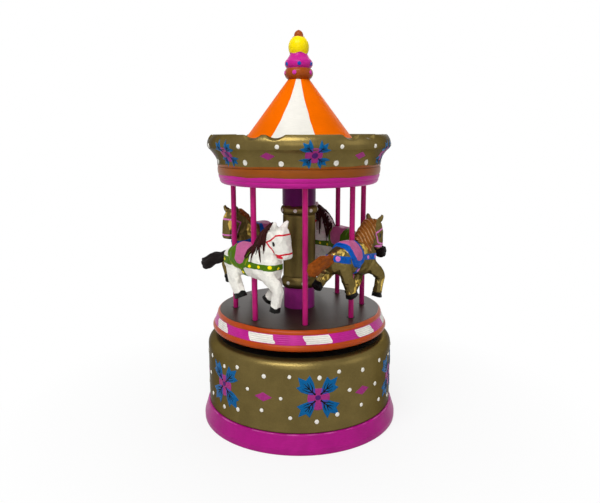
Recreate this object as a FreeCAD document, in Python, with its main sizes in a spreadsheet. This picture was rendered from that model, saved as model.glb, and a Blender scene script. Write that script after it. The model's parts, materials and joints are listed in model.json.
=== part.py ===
import FreeCAD, Part
import math
import os
import re
from collections import namedtuple

import Sketcher
from FreeCAD import Placement, Rotation, Vector

# Wind up carousel music box in turned and carved wood. The origin is the middle of the foot's underside.
# The carousel turns about +Z, and the front of the object faces -Y.

# Driving dimensions, in millimetres and degrees. Heights are measured from the table.
DIMENSIONS = {
    # Base
    "foot_radius": 50.0,
    "foot_edge": 3.0,
    "foot_top_radius": 48.2,
    "foot_height": 9.6,
    "foot_bore": 39.0,
    "spigot_radius": 43.4,
    "spigot_height": 13.0,
    "recess_radius": 44.4,
    "ledge_height": 4.4,
    "edge_round": 0.8,
    "drum_radius": 47.2,
    "drum_bore": 43.5,
    "drum_height": 44.5,
    "drum_shoulder": 4.5,
    "ceiling_height": 39.0,
    "bush_radius": 4.5,
    "bush_flange": 6.5,
    "bush_lip": 0.8,
    "cover_radius": 44.2,
    "cover_thickness": 2.4,
    "cover_screw_ring": 41.3,
    "wood_screw_radius": 1.0,
    "small_screw_radius": 0.9,
    "cover_turn": 30.0,
    "pilot_depth": 4.6,
    # Turntable and platform
    "arbor_radius": 2.5,
    "arbor_pivot": 1.5,
    "running_gap": 0.05,
    "flange_radius": 12.0,
    "flange_thickness": 2.0,
    "flange_screw_ring": 8.5,
    "platform_bottom": 48.0,
    "platform_top": 57.6,
    "platform_radius": 43.4,
    "platform_top_radius": 40.2,
    "socket_radius": 5.0,
    "socket_depth": 4.5,
    "arbor_top": 51.0,
    # Poles
    "pole_radius": 1.3,
    "pole_hole": 1.55,
    "pole_ring": 32.8,
    "pole_depth": 5.0,
    "pole_turn": 4.8,
    # Column
    "collar_radius": 7.9,
    "shaft_radius": 8.2,
    "shaft_bottom": 68.4,
    "shaft_top": 110.6,
    # Canopy and roof
    "canopy_bottom": 121.5,
    "canopy_joint": 129.8,
    "canopy_radius": 40.2,
    "band_height": 126.0,
    "trough_height": 135.0,
    "rim_bore": 28.0,
    "lip_radius": 45.0,
    "lip_height": 145.0,
    "notch_radius": 6.2,
    "notch_depth": 2.6,
    "notch_tilt": 20.0,
    "notch_pair_turn": -21.0,
    "notch_half_angle": 7.3,
    "cone_radius": 32.4,
    "cone_top_radius": 5.3,
    "cone_height": 171.0,
    "tenon_radius": 2.5,
    "tenon_depth": 6.0,
    "finial_height": 194.1,
    "cap_radius": 2.25,
    "cap_rise": 2.9,
    "bulb_radius": 6.2,
    # Movement
    "plate_thickness": 2.5,
    "plate_left": 21.0,
    "plate_right": 41.0,
    "plate_back": 22.0,
    "plate_front": 30.0,
    "plate_rim": 42.2,
    "crown_face": 33.2,
    "crown_thickness": 2.2,
    "crown_outer": 14.2,
    "crown_inner": 12.3,
    "cylinder_height": 28.85,
    "cylinder_start": 17.2,
    "cylinder_length": 14.4,
    "cylinder_radius": 6.3,
    "pin_height": 0.7,
    "pin_thickness": 0.44,
    "track_pitch": 0.8,
    "lug_thickness": 1.4,
    "lug_half": 3.0,
    "cylinder_arbor_radius": 1.0,
    "cylinder_arbor_length": 24.2,
    "train_gap": 9.25,
    "train_dip": 15.0,
    "gear_start": 32.2,
    "gear_width": 1.2,
    "wheel_start": 34.3,
    "wheel_width": 1.4,
    "worm_radius": 1.6,
    "worm_reach": 3.0,
    "comb_thickness": 1.2,
    "comb_back": 19.8,
    "comb_seat": 8.0,
    "comb_heel": 11.4,
    "comb_toe": 8.0,
    "comb_screw_line": 16.0,
    "tooth_thickness": 0.6,
    "tooth_width": 0.55,
    "comb_clearance": 0.3,
    "housing_radius": 11.4,
    "housing_wall": 1.0,
    "housing_bottom": 19.5,
    "housing_top": 30.5,
    "post_ring": 16.8,
    "post_radius": 1.6,
    "post_ear": 3.0,
    "housing_floor": 1.2,
    "spring_pitch": 0.9,
    "spring_thickness": 0.35,
    "spring_start": 3.7,
    "screw_ring": 22.0,
    "screw_turn": 55.0,
    "pinion_start": 12.4,
    "pinion_width": 1.7,
    "spindle_radius": 0.6,
    "spindle_seat": 1.3,
    "governor_length": 8.0,
    "bracket_bottom": 13.6,
    "bracket_thickness": 1.2,
    "bracket_wall": 20.0,
    "bracket_flange": 4.0,
    "bracket_left": 30.5,
    "bracket_right": 36.2,
    "fan_bottom": 15.8,
    "fan_height": 4.5,
    "fan_radius": 4.6,
    "fan_sleeve": 1.3,
    "fan_vane": 0.4,
}

POLE_STEPS = 4
TRACKS = 18
PINS_PER_TRACK = 4
TRACK_TURN = 73
SPRING_TURNS = 7
LOBES = 6

# Gear train: tooth counts and modules.
CROWN_TEETH = 44
CYLINDER_PINION_TEETH = 12
CROWN_MODULE = 0.6
CYLINDER_GEAR_TEETH = 36
GOVERNOR_PINION_TEETH = 10
TRAIN_MODULE = 0.4
WHEEL_TEETH = 16
WORM_STARTS = 2
WORM_MODULE = 0.5
PRESSURE_ANGLE = math.radians(20)
TOOTH_SHARE = 0.80
ADDENDUM = 0.85
DEDENDUM = 1.25

# Horse, in its own frame: x forward from its pole, y to its left, z up from the platform's top.
# Each row is a section across a limb: its centre (x, y, z), then half its height and half its width.
TORSO = (
    ((-18.6, 0, 28.6), 2.4, 1.9),
    ((-17.2, 0, 28.6), 4.6, 3.5),
    ((-13.0, 0, 28.3), 6.5, 5.1),
    ((-5.0, 0, 28.7), 7.4, 5.6),
    ((3.0, 0, 28.7), 8.2, 5.4),
    ((9.6, 0, 27.6), 8.2, 5.0),
    ((13.8, 0, 26.9), 6.8, 4.4),
    ((15.4, 0, 26.7), 4.4, 3.2),
)
NECK = (
    ((6.0, 0, 29.5), 8.2, 4.9),
    ((9.0, 0, 35.2), 6.2, 4.4),
    ((11.2, 0, 39.9), 5.0, 4.0),
    ((13.0, 0, 44.0), 3.6, 3.4),
)
HEAD = (
    ((15.4, 0, 46.9), 2.5, 3.1),
    ((16.0, 0, 43.6), 4.3, 3.9),
    ((16.8, 0, 39.8), 4.4, 4.0),
    ((18.2, 0, 36.2), 3.7, 3.6),
    ((19.2, 0, 33.6), 3.1, 3.3),
    ((19.5, 0, 32.1), 2.2, 2.5),
)
MANE = (
    ((2.4, -0.4, 36.6), 1.4, 1.6),
    ((5.6, -0.5, 40.2), 1.9, 2.3),
    ((9.2, -0.5, 43.6), 2.0, 2.4),
    ((12.4, -0.3, 46.2), 1.4, 1.8),
)
EAR = (
    ((15.6, 2.6, 45.4), 1.9, 1.4),
    ((16.6, 3.5, 47.3), 1.5, 1.1),
    ((17.4, 4.2, 49.0), 0.6, 0.5),
)
SADDLE = (
    ((-11.6, 0, 29.6), 5.6, 4.6),
    ((-10.0, 0, 29.4), 7.2, 5.7),
    ((-5.0, 0, 29.4), 7.7, 6.1),
    ((0.4, 0, 29.6), 7.8, 6.0),
    ((2.2, 0, 30.0), 6.2, 5.0),
)
FORE_OUTER = (
    ((9.6, -3.0, 25.6), 4.4, 2.6),
    ((14.4, -3.9, 22.0), 3.5, 2.5),
    ((18.2, -4.1, 18.4), 2.8, 2.4),
    ((17.7, -4.1, 13.4), 2.5, 2.3),
    ((17.1, -4.1, 10.4), 2.5, 2.3),
)
FORE_INNER = (
    ((9.0, 2.8, 24.0), 4.2, 2.6),
    ((10.4, 3.7, 18.4), 3.2, 2.4),
    ((8.2, 3.9, 14.4), 2.7, 2.3),
    ((5.8, 3.9, 11.6), 2.5, 2.3),
)
HIND_OUTER = (
    ((-10.8, -2.6, 27.0), 5.0, 3.0),
    ((-9.6, -4.0, 20.8), 3.6, 2.6),
    ((-7.6, -4.3, 16.8), 3.1, 2.5),
    ((-5.9, -4.3, 13.4), 3.1, 2.4),
)
HIND_INNER = (
    ((-12.0, 2.6, 26.6), 4.6, 3.0),
    ((-15.0, 3.9, 22.6), 3.3, 2.6),
    ((-18.2, 4.1, 19.9), 2.6, 2.4),
    ((-20.4, 4.1, 18.0), 2.5, 2.3),
)
TAIL = (
    ((-15.6, 0, 30.2), 2.0, 1.9),
    ((-20.4, -0.2, 29.2), 2.4, 2.0),
    ((-27.0, -0.4, 26.4), 2.6, 2.1),
    ((-32.6, -0.5, 24.2), 2.8, 2.2),
    ((-35.6, -0.5, 23.5), 2.4, 1.8),
)
HOOF_LENGTH = 2.4
HOOF_FLARE = 1.1
HOOF_STEP = 0.96
SECTION_POINTS = 12

# Squareness of the sections: 2 is an ellipse, and a larger figure is nearer to a block with round edges.
BLOCK_HEAD = 3.0
BLOCK_LEG = 2.6
BLOCK_BODY = 2.5
BLOCK_NECK = 2.4
BLOCK_TAIL = 2.2
ROUND = 2.0

# Each horse is glued to its pole by hand and stands a little differently: its step round the ring, how
# far its nose dips in degrees, its lift and shift forward, then the lift of its tail in degrees and the
# depth of the tail in the rump.
Stance = namedtuple("Stance", "label step dip lift shift tail_lift tail_depth")
HORSES = (
    Stance("gold_horse_front", 0, 4.0, 0.6, 0.9, 7.0, 3.0),
    Stance("white_horse_back", 1, 0.0, 0.4, 1.0, 8.0, 5.0),
    Stance("gold_horse_back", 2, 3.0, 2.8, -1.8, 4.0, 3.4),
    Stance("white_horse_front", 3, 0.0, 0.0, 0.0, 0.0, 0.0),
)
BODY_CENTRE = Vector(0, 0, 28)
TAIL_ROOT = Vector(-18.5, 0, 29.3)
TAIL_WAY = Vector(0.94, 0, 0.34)

# Screws: radius and height of the head, then the length under it.
SCREWS = {
    "cover_screws": (2.1, 1.2, 7.5),
    "flange_screws": (1.8, 0.7, 6.5),
    "movement_screws": (2.0, 1.1, 6.3),
    "comb_screws": (1.8, 1.0, 5.4),
    "governor_screw": (1.6, 0.9, 3.0),
}
COVER_SCREWS = 4
FLANGE_SCREWS = 3
MOVEMENT_SCREWS = 4
COMB_SCREW_SHARES = (0.25, 0.75)

doc = FreeCAD.newDocument("carousel_music_box")
sheet = doc.addObject("Spreadsheet::Sheet", "dims")
for row, (alias, amount) in enumerate(DIMENSIONS.items(), start=1):
    sheet.set(f"A{row}", alias)
    sheet.set(f"B{row}", str(amount))
    sheet.setAlias(f"B{row}", alias)
doc.recompute()

SUBPARTS = []


def cells(text):
    """Points every dimension named in an expression at its cell."""
    return re.sub(r"[a-z]+(?:_[a-z]+)+", r"dims.\g<0>", text)


def size(text):
    """Value of an expression of the dimensions."""
    return float(sheet.evalExpression(cells(text)))


def subpart(obj, label):
    """Marks a finished object as one piece of the assembly, under its own name."""
    obj.Label = label
    SUBPARTS.append(obj)
    return obj


def place(obj, x="0", y="0", z="0"):
    """Binds an object's position to expressions of the dimensions."""
    for axis, text in (("x", x), ("y", y), ("z", z)):
        obj.setExpression(f"Placement.Base.{axis}", cells(text))
    return obj


def box(name, corner, lengths):
    """Block with its lowest corner and its three lengths bound to expressions."""
    block = doc.addObject("Part::Box", name)
    for side, text in zip(("Length", "Width", "Height"), lengths):
        block.setExpression(side, cells(text))
    return place(block, *corner)


def rod(name, radius, length, base, along_x=False):
    """Round bar along +Z, or along +X."""
    bar = doc.addObject("Part::Cylinder", name)
    bar.setExpression("Radius", cells(radius))
    bar.setExpression("Height", cells(length))
    if along_x:
        bar.Placement = Placement(Vector(), Rotation(Vector(0, 1, 0), 90))
    return place(bar, *base)


def joined(name, pieces):
    """Union of several objects."""
    union = doc.addObject("Part::MultiFuse", name)
    union.Shapes = pieces
    union.Refine = True
    return union


def cut_by(name, base, tools):
    """Object less one or several tools."""
    cut = doc.addObject("Part::Cut", name)
    cut.Base = base
    cut.Tool = tools[0] if len(tools) == 1 else joined(f"{name}_tools", tools)
    cut.Refine = True
    return cut


def made(label, shape, placement=None):
    """Piece whose shape is worked out from the sheet's sizes."""
    feature = doc.addObject("Part::Feature", label)
    feature.Shape = shape
    if placement is not None:
        feature.Placement = placement
    return subpart(feature, label)


def sketch_on(body, role, name, height=None):
    """Sketch on one of the body's own origin planes, raised to a height if one is given."""
    plane = next(item for item in body.Origin.OriginFeatures if item.Role == role)
    sketch = body.newObject("Sketcher::SketchObject", name)
    sketch.AttachmentSupport = (plane, [""])
    sketch.MapMode = "FlatFace"
    if height is not None:
        sketch.setExpression("AttachmentOffset.Base.z", cells(height))
    return sketch


def hold_point(sketch, line, end, across, upward):
    """Fixes one end of a sketch line at two distances from the sketch's origin."""
    for kind, axis, text in (("DistanceX", -2, across), ("DistanceY", -1, upward)):
        amount = size(text)
        if abs(amount) < 1e-9:
            sketch.addConstraint(Sketcher.Constraint("PointOnObject", line, end, axis))
            continue
        index = sketch.addConstraint(Sketcher.Constraint(kind, -1, 1, line, end, amount))
        sketch.setExpression(f"Constraints[{index}]", cells(text))


def arc_middle(start, end, radius):
    """Point halfway along an arc: a positive radius bulges to the right of the way from start to end."""
    chord = end - start
    half = chord.Length / 2
    rise = abs(radius) - math.sqrt(radius * radius - half * half)
    right = Vector(chord.y, -chord.x, 0).normalize()
    return (start + end) * 0.5 + right * math.copysign(rise, radius)


def outline(sketch, corners):
    """Closed outline through corners (across, upward[, arc]), each an expression.

    The optional third entry is the radius of the arc to the next corner, negative for a hollow one.
    """
    points = [Vector(size(corner[0]), size(corner[1]), 0) for corner in corners]
    lines = []
    for index, corner in enumerate(corners):
        start = points[index]
        end = points[(index + 1) % len(points)]
        if len(corner) == 3:
            middle = arc_middle(start, end, size(corner[2]))
            geometry = Part.Arc(start, middle, end)
        else:
            geometry = Part.LineSegment(start, end)
        line = sketch.addGeometry(geometry, False)
        first = 1 if sketch.getPoint(line, 1).distanceToPoint(start) < 1e-6 else 2
        lines.append((line, first, 3 - first))
    for index, corner in enumerate(corners):
        line, first, last = lines[index]
        follower, follower_first, _ = lines[(index + 1) % len(lines)]
        sketch.addConstraint(Sketcher.Constraint("Coincident", line, last, follower, follower_first))
        hold_point(sketch, line, first, corner[0], corner[1])
        if len(corner) == 3:
            radius = size(corner[2])
            held = sketch.addConstraint(Sketcher.Constraint("Radius", line, abs(radius)))
            sign = "" if radius > 0 else "-1 * "
            sketch.setExpression(f"Constraints[{held}]", cells(f"{sign}({corner[2]})"))


def turned(label, corners):
    """Piece turned about +Z from its half outline, corners as (radius, height[, arc])."""
    body = doc.addObject("PartDesign::Body", label)
    sketch = sketch_on(body, "XZ_Plane", f"{label}_outline")
    outline(sketch, corners)
    turning = body.newObject("PartDesign::Revolution", f"{label}_turning")
    turning.Profile = sketch
    turning.ReferenceAxis = (sketch, ["V_Axis"])
    turning.Angle = 360
    doc.recompute()
    return body


def drilled(body, name, height, hole, ring, turn, count, depth, upward):
    """Ring of equal blind holes, the first at an angle between 0 and 90 degrees from +X."""
    before = body.Shape.Volume
    sketch = sketch_on(body, "XY_Plane", f"{name}_sketch", height)
    across = f"{ring} * cos({turn})"
    upright = f"{ring} * sin({turn})"
    centre = Vector(size(across), size(upright), 0)
    circle = sketch.addGeometry(Part.Circle(centre, Vector(0, 0, 1), size(hole)), False)
    hold_point(sketch, circle, 3, across, upright)
    held = sketch.addConstraint(Sketcher.Constraint("Radius", circle, size(hole)))
    sketch.setExpression(f"Constraints[{held}]", cells(hole))
    pocket = body.newObject("PartDesign::Pocket", f"{name}_pocket")
    pocket.Profile = sketch
    pocket.setExpression("Length", cells(depth))
    pocket.Reversed = upward
    pattern = body.newObject("PartDesign::PolarPattern", f"{name}_pattern")
    pattern.Originals = [pocket]
    pattern.Axis = (sketch, ["N_Axis"])
    pattern.Angle = 360
    pattern.Occurrences = count
    body.Tip = pattern
    doc.recompute()
    removed = before - body.Shape.Volume
    wanted = count * math.pi * size(hole) ** 2 * size(depth)
    if abs(removed - wanted) > 0.05 * wanted:
        raise RuntimeError(f"{name} removed {removed:.2f} and not {wanted:.2f} cubic millimetres")


def screw(radius, head_radius, head_height, length):
    """Round-headed screw pointing up, with its head's seat at height zero."""
    tip = 0.4 * radius
    edge = 0.35 * head_height
    rise = head_height - edge
    dome = (head_radius ** 2 + rise ** 2) / (2 * rise)
    slope = 0.5 * math.asin(head_radius / dome)
    crest = Vector(dome * math.sin(slope), 0, dome - head_height - dome * math.cos(slope))
    path = [
        Part.LineSegment(Vector(0, 0, length), Vector(tip, 0, length)),
        Part.LineSegment(Vector(tip, 0, length), Vector(radius, 0, length - 2 * tip)),
        Part.LineSegment(Vector(radius, 0, length - 2 * tip), Vector(radius, 0, 0)),
        Part.LineSegment(Vector(radius, 0, 0), Vector(head_radius, 0, 0)),
        Part.LineSegment(Vector(head_radius, 0, 0), Vector(head_radius, 0, -edge)),
        Part.Arc(Vector(head_radius, 0, -edge), crest, Vector(0, 0, -head_height)),
        Part.LineSegment(Vector(0, 0, -head_height), Vector(0, 0, length)),
    ]
    face = Part.Face(Part.Wire([line.toShape() for line in path]))
    return face.revolve(Vector(), Vector(0, 0, 1), 360)


def screw_group(label, seats, radius):
    """Equal screws as separate solids in one piece, one at each seat."""
    pattern = screw(radius, *SCREWS[label])
    screws = []
    for seat in seats:
        moved = pattern.copy()
        moved.translate(seat)
        screws.append(moved)
    return made(label, Part.makeCompound(screws))


def around(ring, turn, height):
    """Point on a ring about +Z."""
    angle = math.radians(turn)
    return Vector(ring * math.cos(angle), ring * math.sin(angle), height)


def ring_of(ring, turn, count, height):
    """Equally spaced points on a ring about +Z, the first at an angle from +X."""
    return [around(size(ring), size(turn) + 360 / count * step, height) for step in range(count)]


def make_base():
    """Foot, drum, bottom cover and the bush in the drum's top."""
    foot = turned("base_foot", [
        ("recess_radius", "0"),
        ("foot_radius - edge_round", "0", "edge_round"),
        ("foot_radius", "edge_round"),
        ("foot_radius", "foot_edge"),
        ("foot_top_radius", "foot_height - edge_round", "edge_round"),
        ("foot_top_radius - edge_round", "foot_height"),
        ("spigot_radius", "foot_height"),
        ("spigot_radius", "spigot_height"),
        ("foot_bore", "spigot_height"),
        ("foot_bore", "ledge_height"),
        ("recess_radius", "ledge_height"),
    ])
    drilled(foot, "cover_pilots", "ledge_height", "wood_screw_radius", "cover_screw_ring", "cover_turn",
            COVER_SCREWS, "spigot_height - ledge_height - cover_thickness", True)
    subpart(foot, "base_foot")

    drum = turned("base_drum", [
        ("drum_bore", "foot_height"),
        ("drum_radius - edge_round / 2", "foot_height"),
        ("drum_radius", "foot_height + edge_round / 2"),
        ("drum_radius", "drum_height - drum_shoulder", "drum_shoulder"),
        ("drum_radius - drum_shoulder", "drum_height"),
        ("bush_radius", "drum_height"),
        ("bush_radius", "ceiling_height"),
        ("drum_bore", "ceiling_height"),
    ])
    drilled(drum, "movement_pilots", "ceiling_height", "wood_screw_radius", "screw_ring", "screw_turn",
            MOVEMENT_SCREWS, "pilot_depth", True)
    subpart(drum, "base_drum")

    cover = turned("bottom_cover", [
        ("0", "ledge_height - cover_thickness"),
        ("cover_radius", "ledge_height - cover_thickness"),
        ("cover_radius", "ledge_height"),
        ("0", "ledge_height"),
    ])
    drilled(cover, "cover_holes", "ledge_height", "wood_screw_radius", "cover_screw_ring", "cover_turn",
            COVER_SCREWS, "cover_thickness", False)
    subpart(cover, "bottom_cover")
    seat = size("ledge_height - cover_thickness")
    screw_group("cover_screws", ring_of("cover_screw_ring", "cover_turn", COVER_SCREWS, seat),
                size("wood_screw_radius"))

    bush = turned("arbor_bush", [
        ("arbor_radius + running_gap", "ceiling_height"),
        ("bush_radius", "ceiling_height"),
        ("bush_radius", "drum_height"),
        ("bush_flange", "drum_height"),
        ("bush_flange", "drum_height + bush_lip"),
        ("arbor_radius + running_gap", "drum_height + bush_lip"),
    ])
    subpart(bush, "arbor_bush")


def make_turntable():
    """Winding arbor, the flange on it and the platform that the flange carries."""
    arbor = turned("winding_arbor", [
        ("0", "housing_bottom - 0.6"),
        ("arbor_pivot", "housing_bottom - 0.6"),
        ("arbor_pivot", "housing_bottom + 1.8"),
        ("arbor_radius", "housing_bottom + 1.8"),
        ("arbor_radius", "arbor_top"),
        ("0", "arbor_top"),
    ])
    subpart(arbor, "winding_arbor")

    flange = turned("turntable_flange", [
        ("arbor_radius", "platform_bottom - flange_thickness"),
        ("flange_radius", "platform_bottom - flange_thickness"),
        ("flange_radius", "platform_bottom"),
        ("arbor_radius", "platform_bottom"),
    ])
    drilled(flange, "flange_holes", "platform_bottom", "wood_screw_radius", "flange_screw_ring",
            "cover_turn", FLANGE_SCREWS, "flange_thickness", False)
    subpart(flange, "turntable_flange")
    seat = size("platform_bottom - flange_thickness")
    screw_group("flange_screws", ring_of("flange_screw_ring", "cover_turn", FLANGE_SCREWS, seat),
                size("wood_screw_radius"))

    platform = turned("platform", [
        ("0", "arbor_top"),
        ("arbor_radius", "arbor_top"),
        ("arbor_radius", "platform_bottom"),
        ("platform_radius", "platform_bottom", "1.75"),
        ("platform_radius + 0.45", "platform_bottom + 3.1"),
        ("platform_radius + 0.2", "platform_bottom + 3.2", "24"),
        ("platform_top_radius + 1.75", "platform_top - 2.2"),
        ("platform_top_radius + 1.9", "platform_top - 2.1", "1.9"),
        ("platform_top_radius", "platform_top"),
        ("socket_radius", "platform_top"),
        ("socket_radius", "platform_top - socket_depth"),
        ("0", "platform_top - socket_depth"),
    ])
    drilled(platform, "pole_sockets", "platform_top", "pole_hole", "pole_ring", "pole_turn", 2 * POLE_STEPS,
            "pole_depth", False)
    drilled(platform, "flange_pilots", "platform_bottom", "wood_screw_radius", "flange_screw_ring",
            "cover_turn", FLANGE_SCREWS, "pilot_depth", True)
    subpart(platform, "platform")


def make_column():
    """Turned centre post with a bead at each end of its shaft and a tenon at each end."""
    column = turned("centre_column", [
        ("0", "platform_top - socket_depth"),
        ("socket_radius", "platform_top - socket_depth"),
        ("socket_radius", "platform_top"),
        ("collar_radius", "platform_top"),
        ("collar_radius", "shaft_bottom"),
        ("collar_radius + 0.3", "shaft_bottom", "4"),
        ("shaft_radius + 0.1", "shaft_bottom + 5.2"),
        ("shaft_radius - 0.2", "shaft_bottom + 5.5"),
        ("shaft_radius", "shaft_bottom + 6"),
        ("shaft_radius", "shaft_top - 5.6"),
        ("shaft_radius - 0.3", "shaft_top - 5.1"),
        ("shaft_radius + 0.1", "shaft_top - 4.7", "2.6"),
        ("shaft_radius + 0.1", "shaft_top - 0.6"),
        ("shaft_radius - 0.3", "shaft_top - 0.3"),
        ("collar_radius + 0.5", "shaft_top"),
        ("collar_radius + 0.5", "canopy_bottom"),
        ("socket_radius", "canopy_bottom"),
        ("socket_radius", "canopy_bottom + socket_depth"),
        ("0", "canopy_bottom + socket_depth"),
    ])
    subpart(column, "centre_column")


def make_poles():
    """Eight poles: plain ones and horse poles in turn round the ring."""
    for step in range(POLE_STEPS):
        for kind, offset in (("plain_pole", -90), ("horse_pole", -45)):
            label = f"{kind}_{step + 1}"
            turn = f"(pole_turn + {offset + 90 * step})"
            pole = rod(label, "pole_radius", "canopy_bottom - platform_top + 2 * pole_depth",
                       (f"pole_ring * cos{turn}", f"pole_ring * sin{turn}", "platform_top - pole_depth"))
            subpart(pole, label)


# Height at which the slanted axis of a notch's cutter meets the canopy's own axis.
NOTCH_AXIS = "lip_height - notch_depth + lip_radius * tan(notch_tilt) + notch_radius / cos(notch_tilt)"


def make_canopy():
    """Banded disc, coved rim with its scalloped lip, cone roof and finial."""
    canopy = turned("canopy_base", [
        ("0", "canopy_bottom + socket_depth"),
        ("socket_radius", "canopy_bottom + socket_depth"),
        ("socket_radius", "canopy_bottom"),
        ("canopy_radius - 2.4", "canopy_bottom"),
        ("canopy_radius - 1.5", "canopy_bottom + 0.5", "2.6"),
        ("canopy_radius - 0.8", "canopy_bottom + 2.3"),
        ("canopy_radius - 1", "canopy_bottom + 2.45"),
        ("canopy_radius - 0.7", "canopy_bottom + 2.6", "3.2"),
        ("canopy_radius - 0.3", "band_height"),
        ("canopy_radius - 0.6", "band_height + 0.15"),
        ("canopy_radius - 0.25", "band_height + 0.3", "2.4"),
        ("canopy_radius - 0.1", "band_height + 1.9"),
        ("canopy_radius - 0.4", "band_height + 2.05"),
        ("canopy_radius - 0.1", "band_height + 2.2", "2.6"),
        ("canopy_radius", "canopy_joint"),
        ("0", "canopy_joint"),
    ])
    drilled(canopy, "pole_holes", "canopy_bottom", "pole_radius", "pole_ring", "pole_turn", 2 * POLE_STEPS,
            "pole_depth", True)
    subpart(canopy, "canopy_base")

    rim = turned("rim_turning", [
        ("rim_bore", "canopy_joint"),
        ("canopy_radius - 0.3", "canopy_joint"),
        ("canopy_radius + 0.1", "canopy_joint + 0.4"),
        ("canopy_radius + 0.15", "canopy_joint + 2.9", "-14"),
        ("lip_radius - 0.6", "lip_height - 5.6"),
        ("lip_radius", "lip_height - 3.2", "3.6"),
        ("lip_radius - 1.4", "lip_height", "0.9"),
        ("lip_radius - 2.8", "lip_height - 0.4"),
        ("lip_radius - 4.4", "lip_height - 5.6", "-14"),
        ("lip_radius - 8", "trough_height"),
        ("rim_bore", "trough_height"),
    ])
    cutters = []
    tilt = size("notch_tilt")
    for lobe in range(LOBES):
        for side in (-1, 1):
            turn = size("notch_pair_turn") - 90 + 360 / LOBES * lobe + side * size("notch_half_angle")
            cutter = doc.addObject("Part::Cylinder", f"notch_{lobe}_{'left' if side < 0 else 'right'}")
            cutter.setExpression("Radius", cells("notch_radius"))
            cutter.setExpression("Height", cells("(lip_radius + edge_round) / cos(notch_tilt)"))
            outward = Rotation(Vector(0, 0, 1), turn) * Rotation(Vector(0, 1, 0), 90 + tilt)
            cutter.Placement = Placement(Vector(), outward)
            place(cutter, z=NOTCH_AXIS)
            cutters.append(cutter)
    rim_cut = cut_by("rim_carving", rim, cutters)
    subpart(rim_cut, "canopy_rim")

    cone = turned("roof_cone", [
        ("0", "canopy_joint"),
        ("rim_bore - 0.2", "canopy_joint"),
        ("rim_bore - 0.2", "trough_height"),
        ("cone_radius", "trough_height"),
        ("cone_top_radius", "cone_height"),
        ("tenon_radius", "cone_height"),
        ("tenon_radius", "cone_height - tenon_depth"),
        ("0", "cone_height - tenon_depth"),
    ])
    subpart(cone, "roof_cone")

    finial = turned("finial", [
        ("0", "cone_height - tenon_depth"),
        ("tenon_radius", "cone_height - tenon_depth"),
        ("tenon_radius", "cone_height"),
        ("5.2", "cone_height", "3.3"),
        ("6", "cone_height + 5.2"),
        ("5.9", "cone_height + 5.4", "2.6"),
        ("6.2", "cone_height + 9", "-9"),
        ("4.2", "cone_height + 12", "bulb_radius"),
        ("cap_radius", "finial_height - cap_rise", "(cap_radius ^ 2 + cap_rise ^ 2) / (2 * cap_rise)"),
        ("0", "finial_height"),
    ])
    subpart(finial, "finial")


def squared(share, squareness):
    """Part of a half size that a point of a section reaches, from the sine or cosine of its angle."""
    return math.copysign(abs(share) ** (2 / squareness), share)


def section(centre, along, half_height, half_width, squareness):
    """Smooth closed ring across a limb, its height in the horse's upright plane."""
    side = Vector(0, 1, 0)
    upward = along.cross(side).normalize()
    points = []
    for step in range(SECTION_POINTS):
        angle = 2 * math.pi * step / SECTION_POINTS
        rise = half_height * squared(math.cos(angle), squareness)
        reach = half_width * squared(math.sin(angle), squareness)
        points.append(centre + upward * rise + side * reach)
    ring = Part.BSplineCurve()
    ring.interpolate(points, PeriodicFlag=True)
    return Part.Wire([ring.toShape()])


def limb(rows, squareness, mirrored=False):
    """Solid lofted through a limb's sections, each square to the way between its neighbours."""
    flip = -1 if mirrored else 1
    centres = [Vector(row[0][0], flip * row[0][1], row[0][2]) for row in rows]
    rings = []
    for index, (_, half_height, half_width) in enumerate(rows):
        before = centres[max(index - 1, 0)]
        after = centres[min(index + 1, len(rows) - 1)]
        along = Vector(after.x - before.x, 0, after.z - before.z).normalize()
        rings.append(section(centres[index], along, half_height, half_width, squareness))
    return Part.makeLoft(rings, True, False)


def hoof(rows):
    """Hoof that flares from the last section of a leg, a small step inside it at the top."""
    (end, half_height, half_width) = rows[-1]
    (last, _, _) = rows[-2]
    ankle = Vector(*end)
    along = Vector(end[0] - last[0], 0, end[2] - last[2]).normalize()
    rings = []
    for reach, scale in ((0, HOOF_STEP), (HOOF_LENGTH, HOOF_FLARE)):
        spot = ankle + along * reach
        rings.append(section(spot, along, half_height * scale, half_width * scale, BLOCK_LEG))
    return Part.makeLoft(rings, True, True)


def carved_horse():
    """Horse in one piece, standing level and without its pole's bore."""
    legs = (FORE_OUTER, FORE_INNER, HIND_OUTER, HIND_INNER)
    pieces = [limb(NECK, BLOCK_NECK), limb(HEAD, BLOCK_HEAD), limb(SADDLE, BLOCK_NECK), limb(MANE, ROUND)]
    pieces.extend(limb(EAR, ROUND, mirrored) for mirrored in (False, True))
    pieces.extend(limb(rows, BLOCK_LEG) for rows in legs)
    pieces.extend(hoof(rows) for rows in legs)
    return limb(TORSO, BLOCK_BODY).multiFuse(pieces)


def make_horses():
    """Four horses on their poles, heads in the way of turning, each with its tail glued to the rump."""
    level = carved_horse()
    brush = limb(TAIL, BLOCK_TAIL)
    bore = Part.makeCylinder(size("pole_radius"), size("canopy_bottom - platform_top"))
    for stance in HORSES:
        horse = level.copy()
        tail = brush.copy()
        tail.translate(TAIL_WAY * stance.tail_depth)
        tail.rotate(TAIL_ROOT, Vector(0, 1, 0), stance.tail_lift)
        for piece in (horse, tail):
            piece.rotate(BODY_CENTRE, Vector(0, 1, 0), stance.dip)
            piece.translate(Vector(stance.shift, 0, stance.lift))
        horse = horse.cut(bore)
        tail = max(tail.cut(horse).Solids, key=lambda solid: solid.Volume)
        turn = size("pole_turn") - 45 + 90 * stance.step
        spot = around(size("pole_ring"), turn, size("platform_top"))
        stand = Placement(spot, Rotation(Vector(0, 0, 1), turn + 90))
        made(stance.label, horse, stand)
        made(f"{stance.label}_tail", tail, stand)


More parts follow.
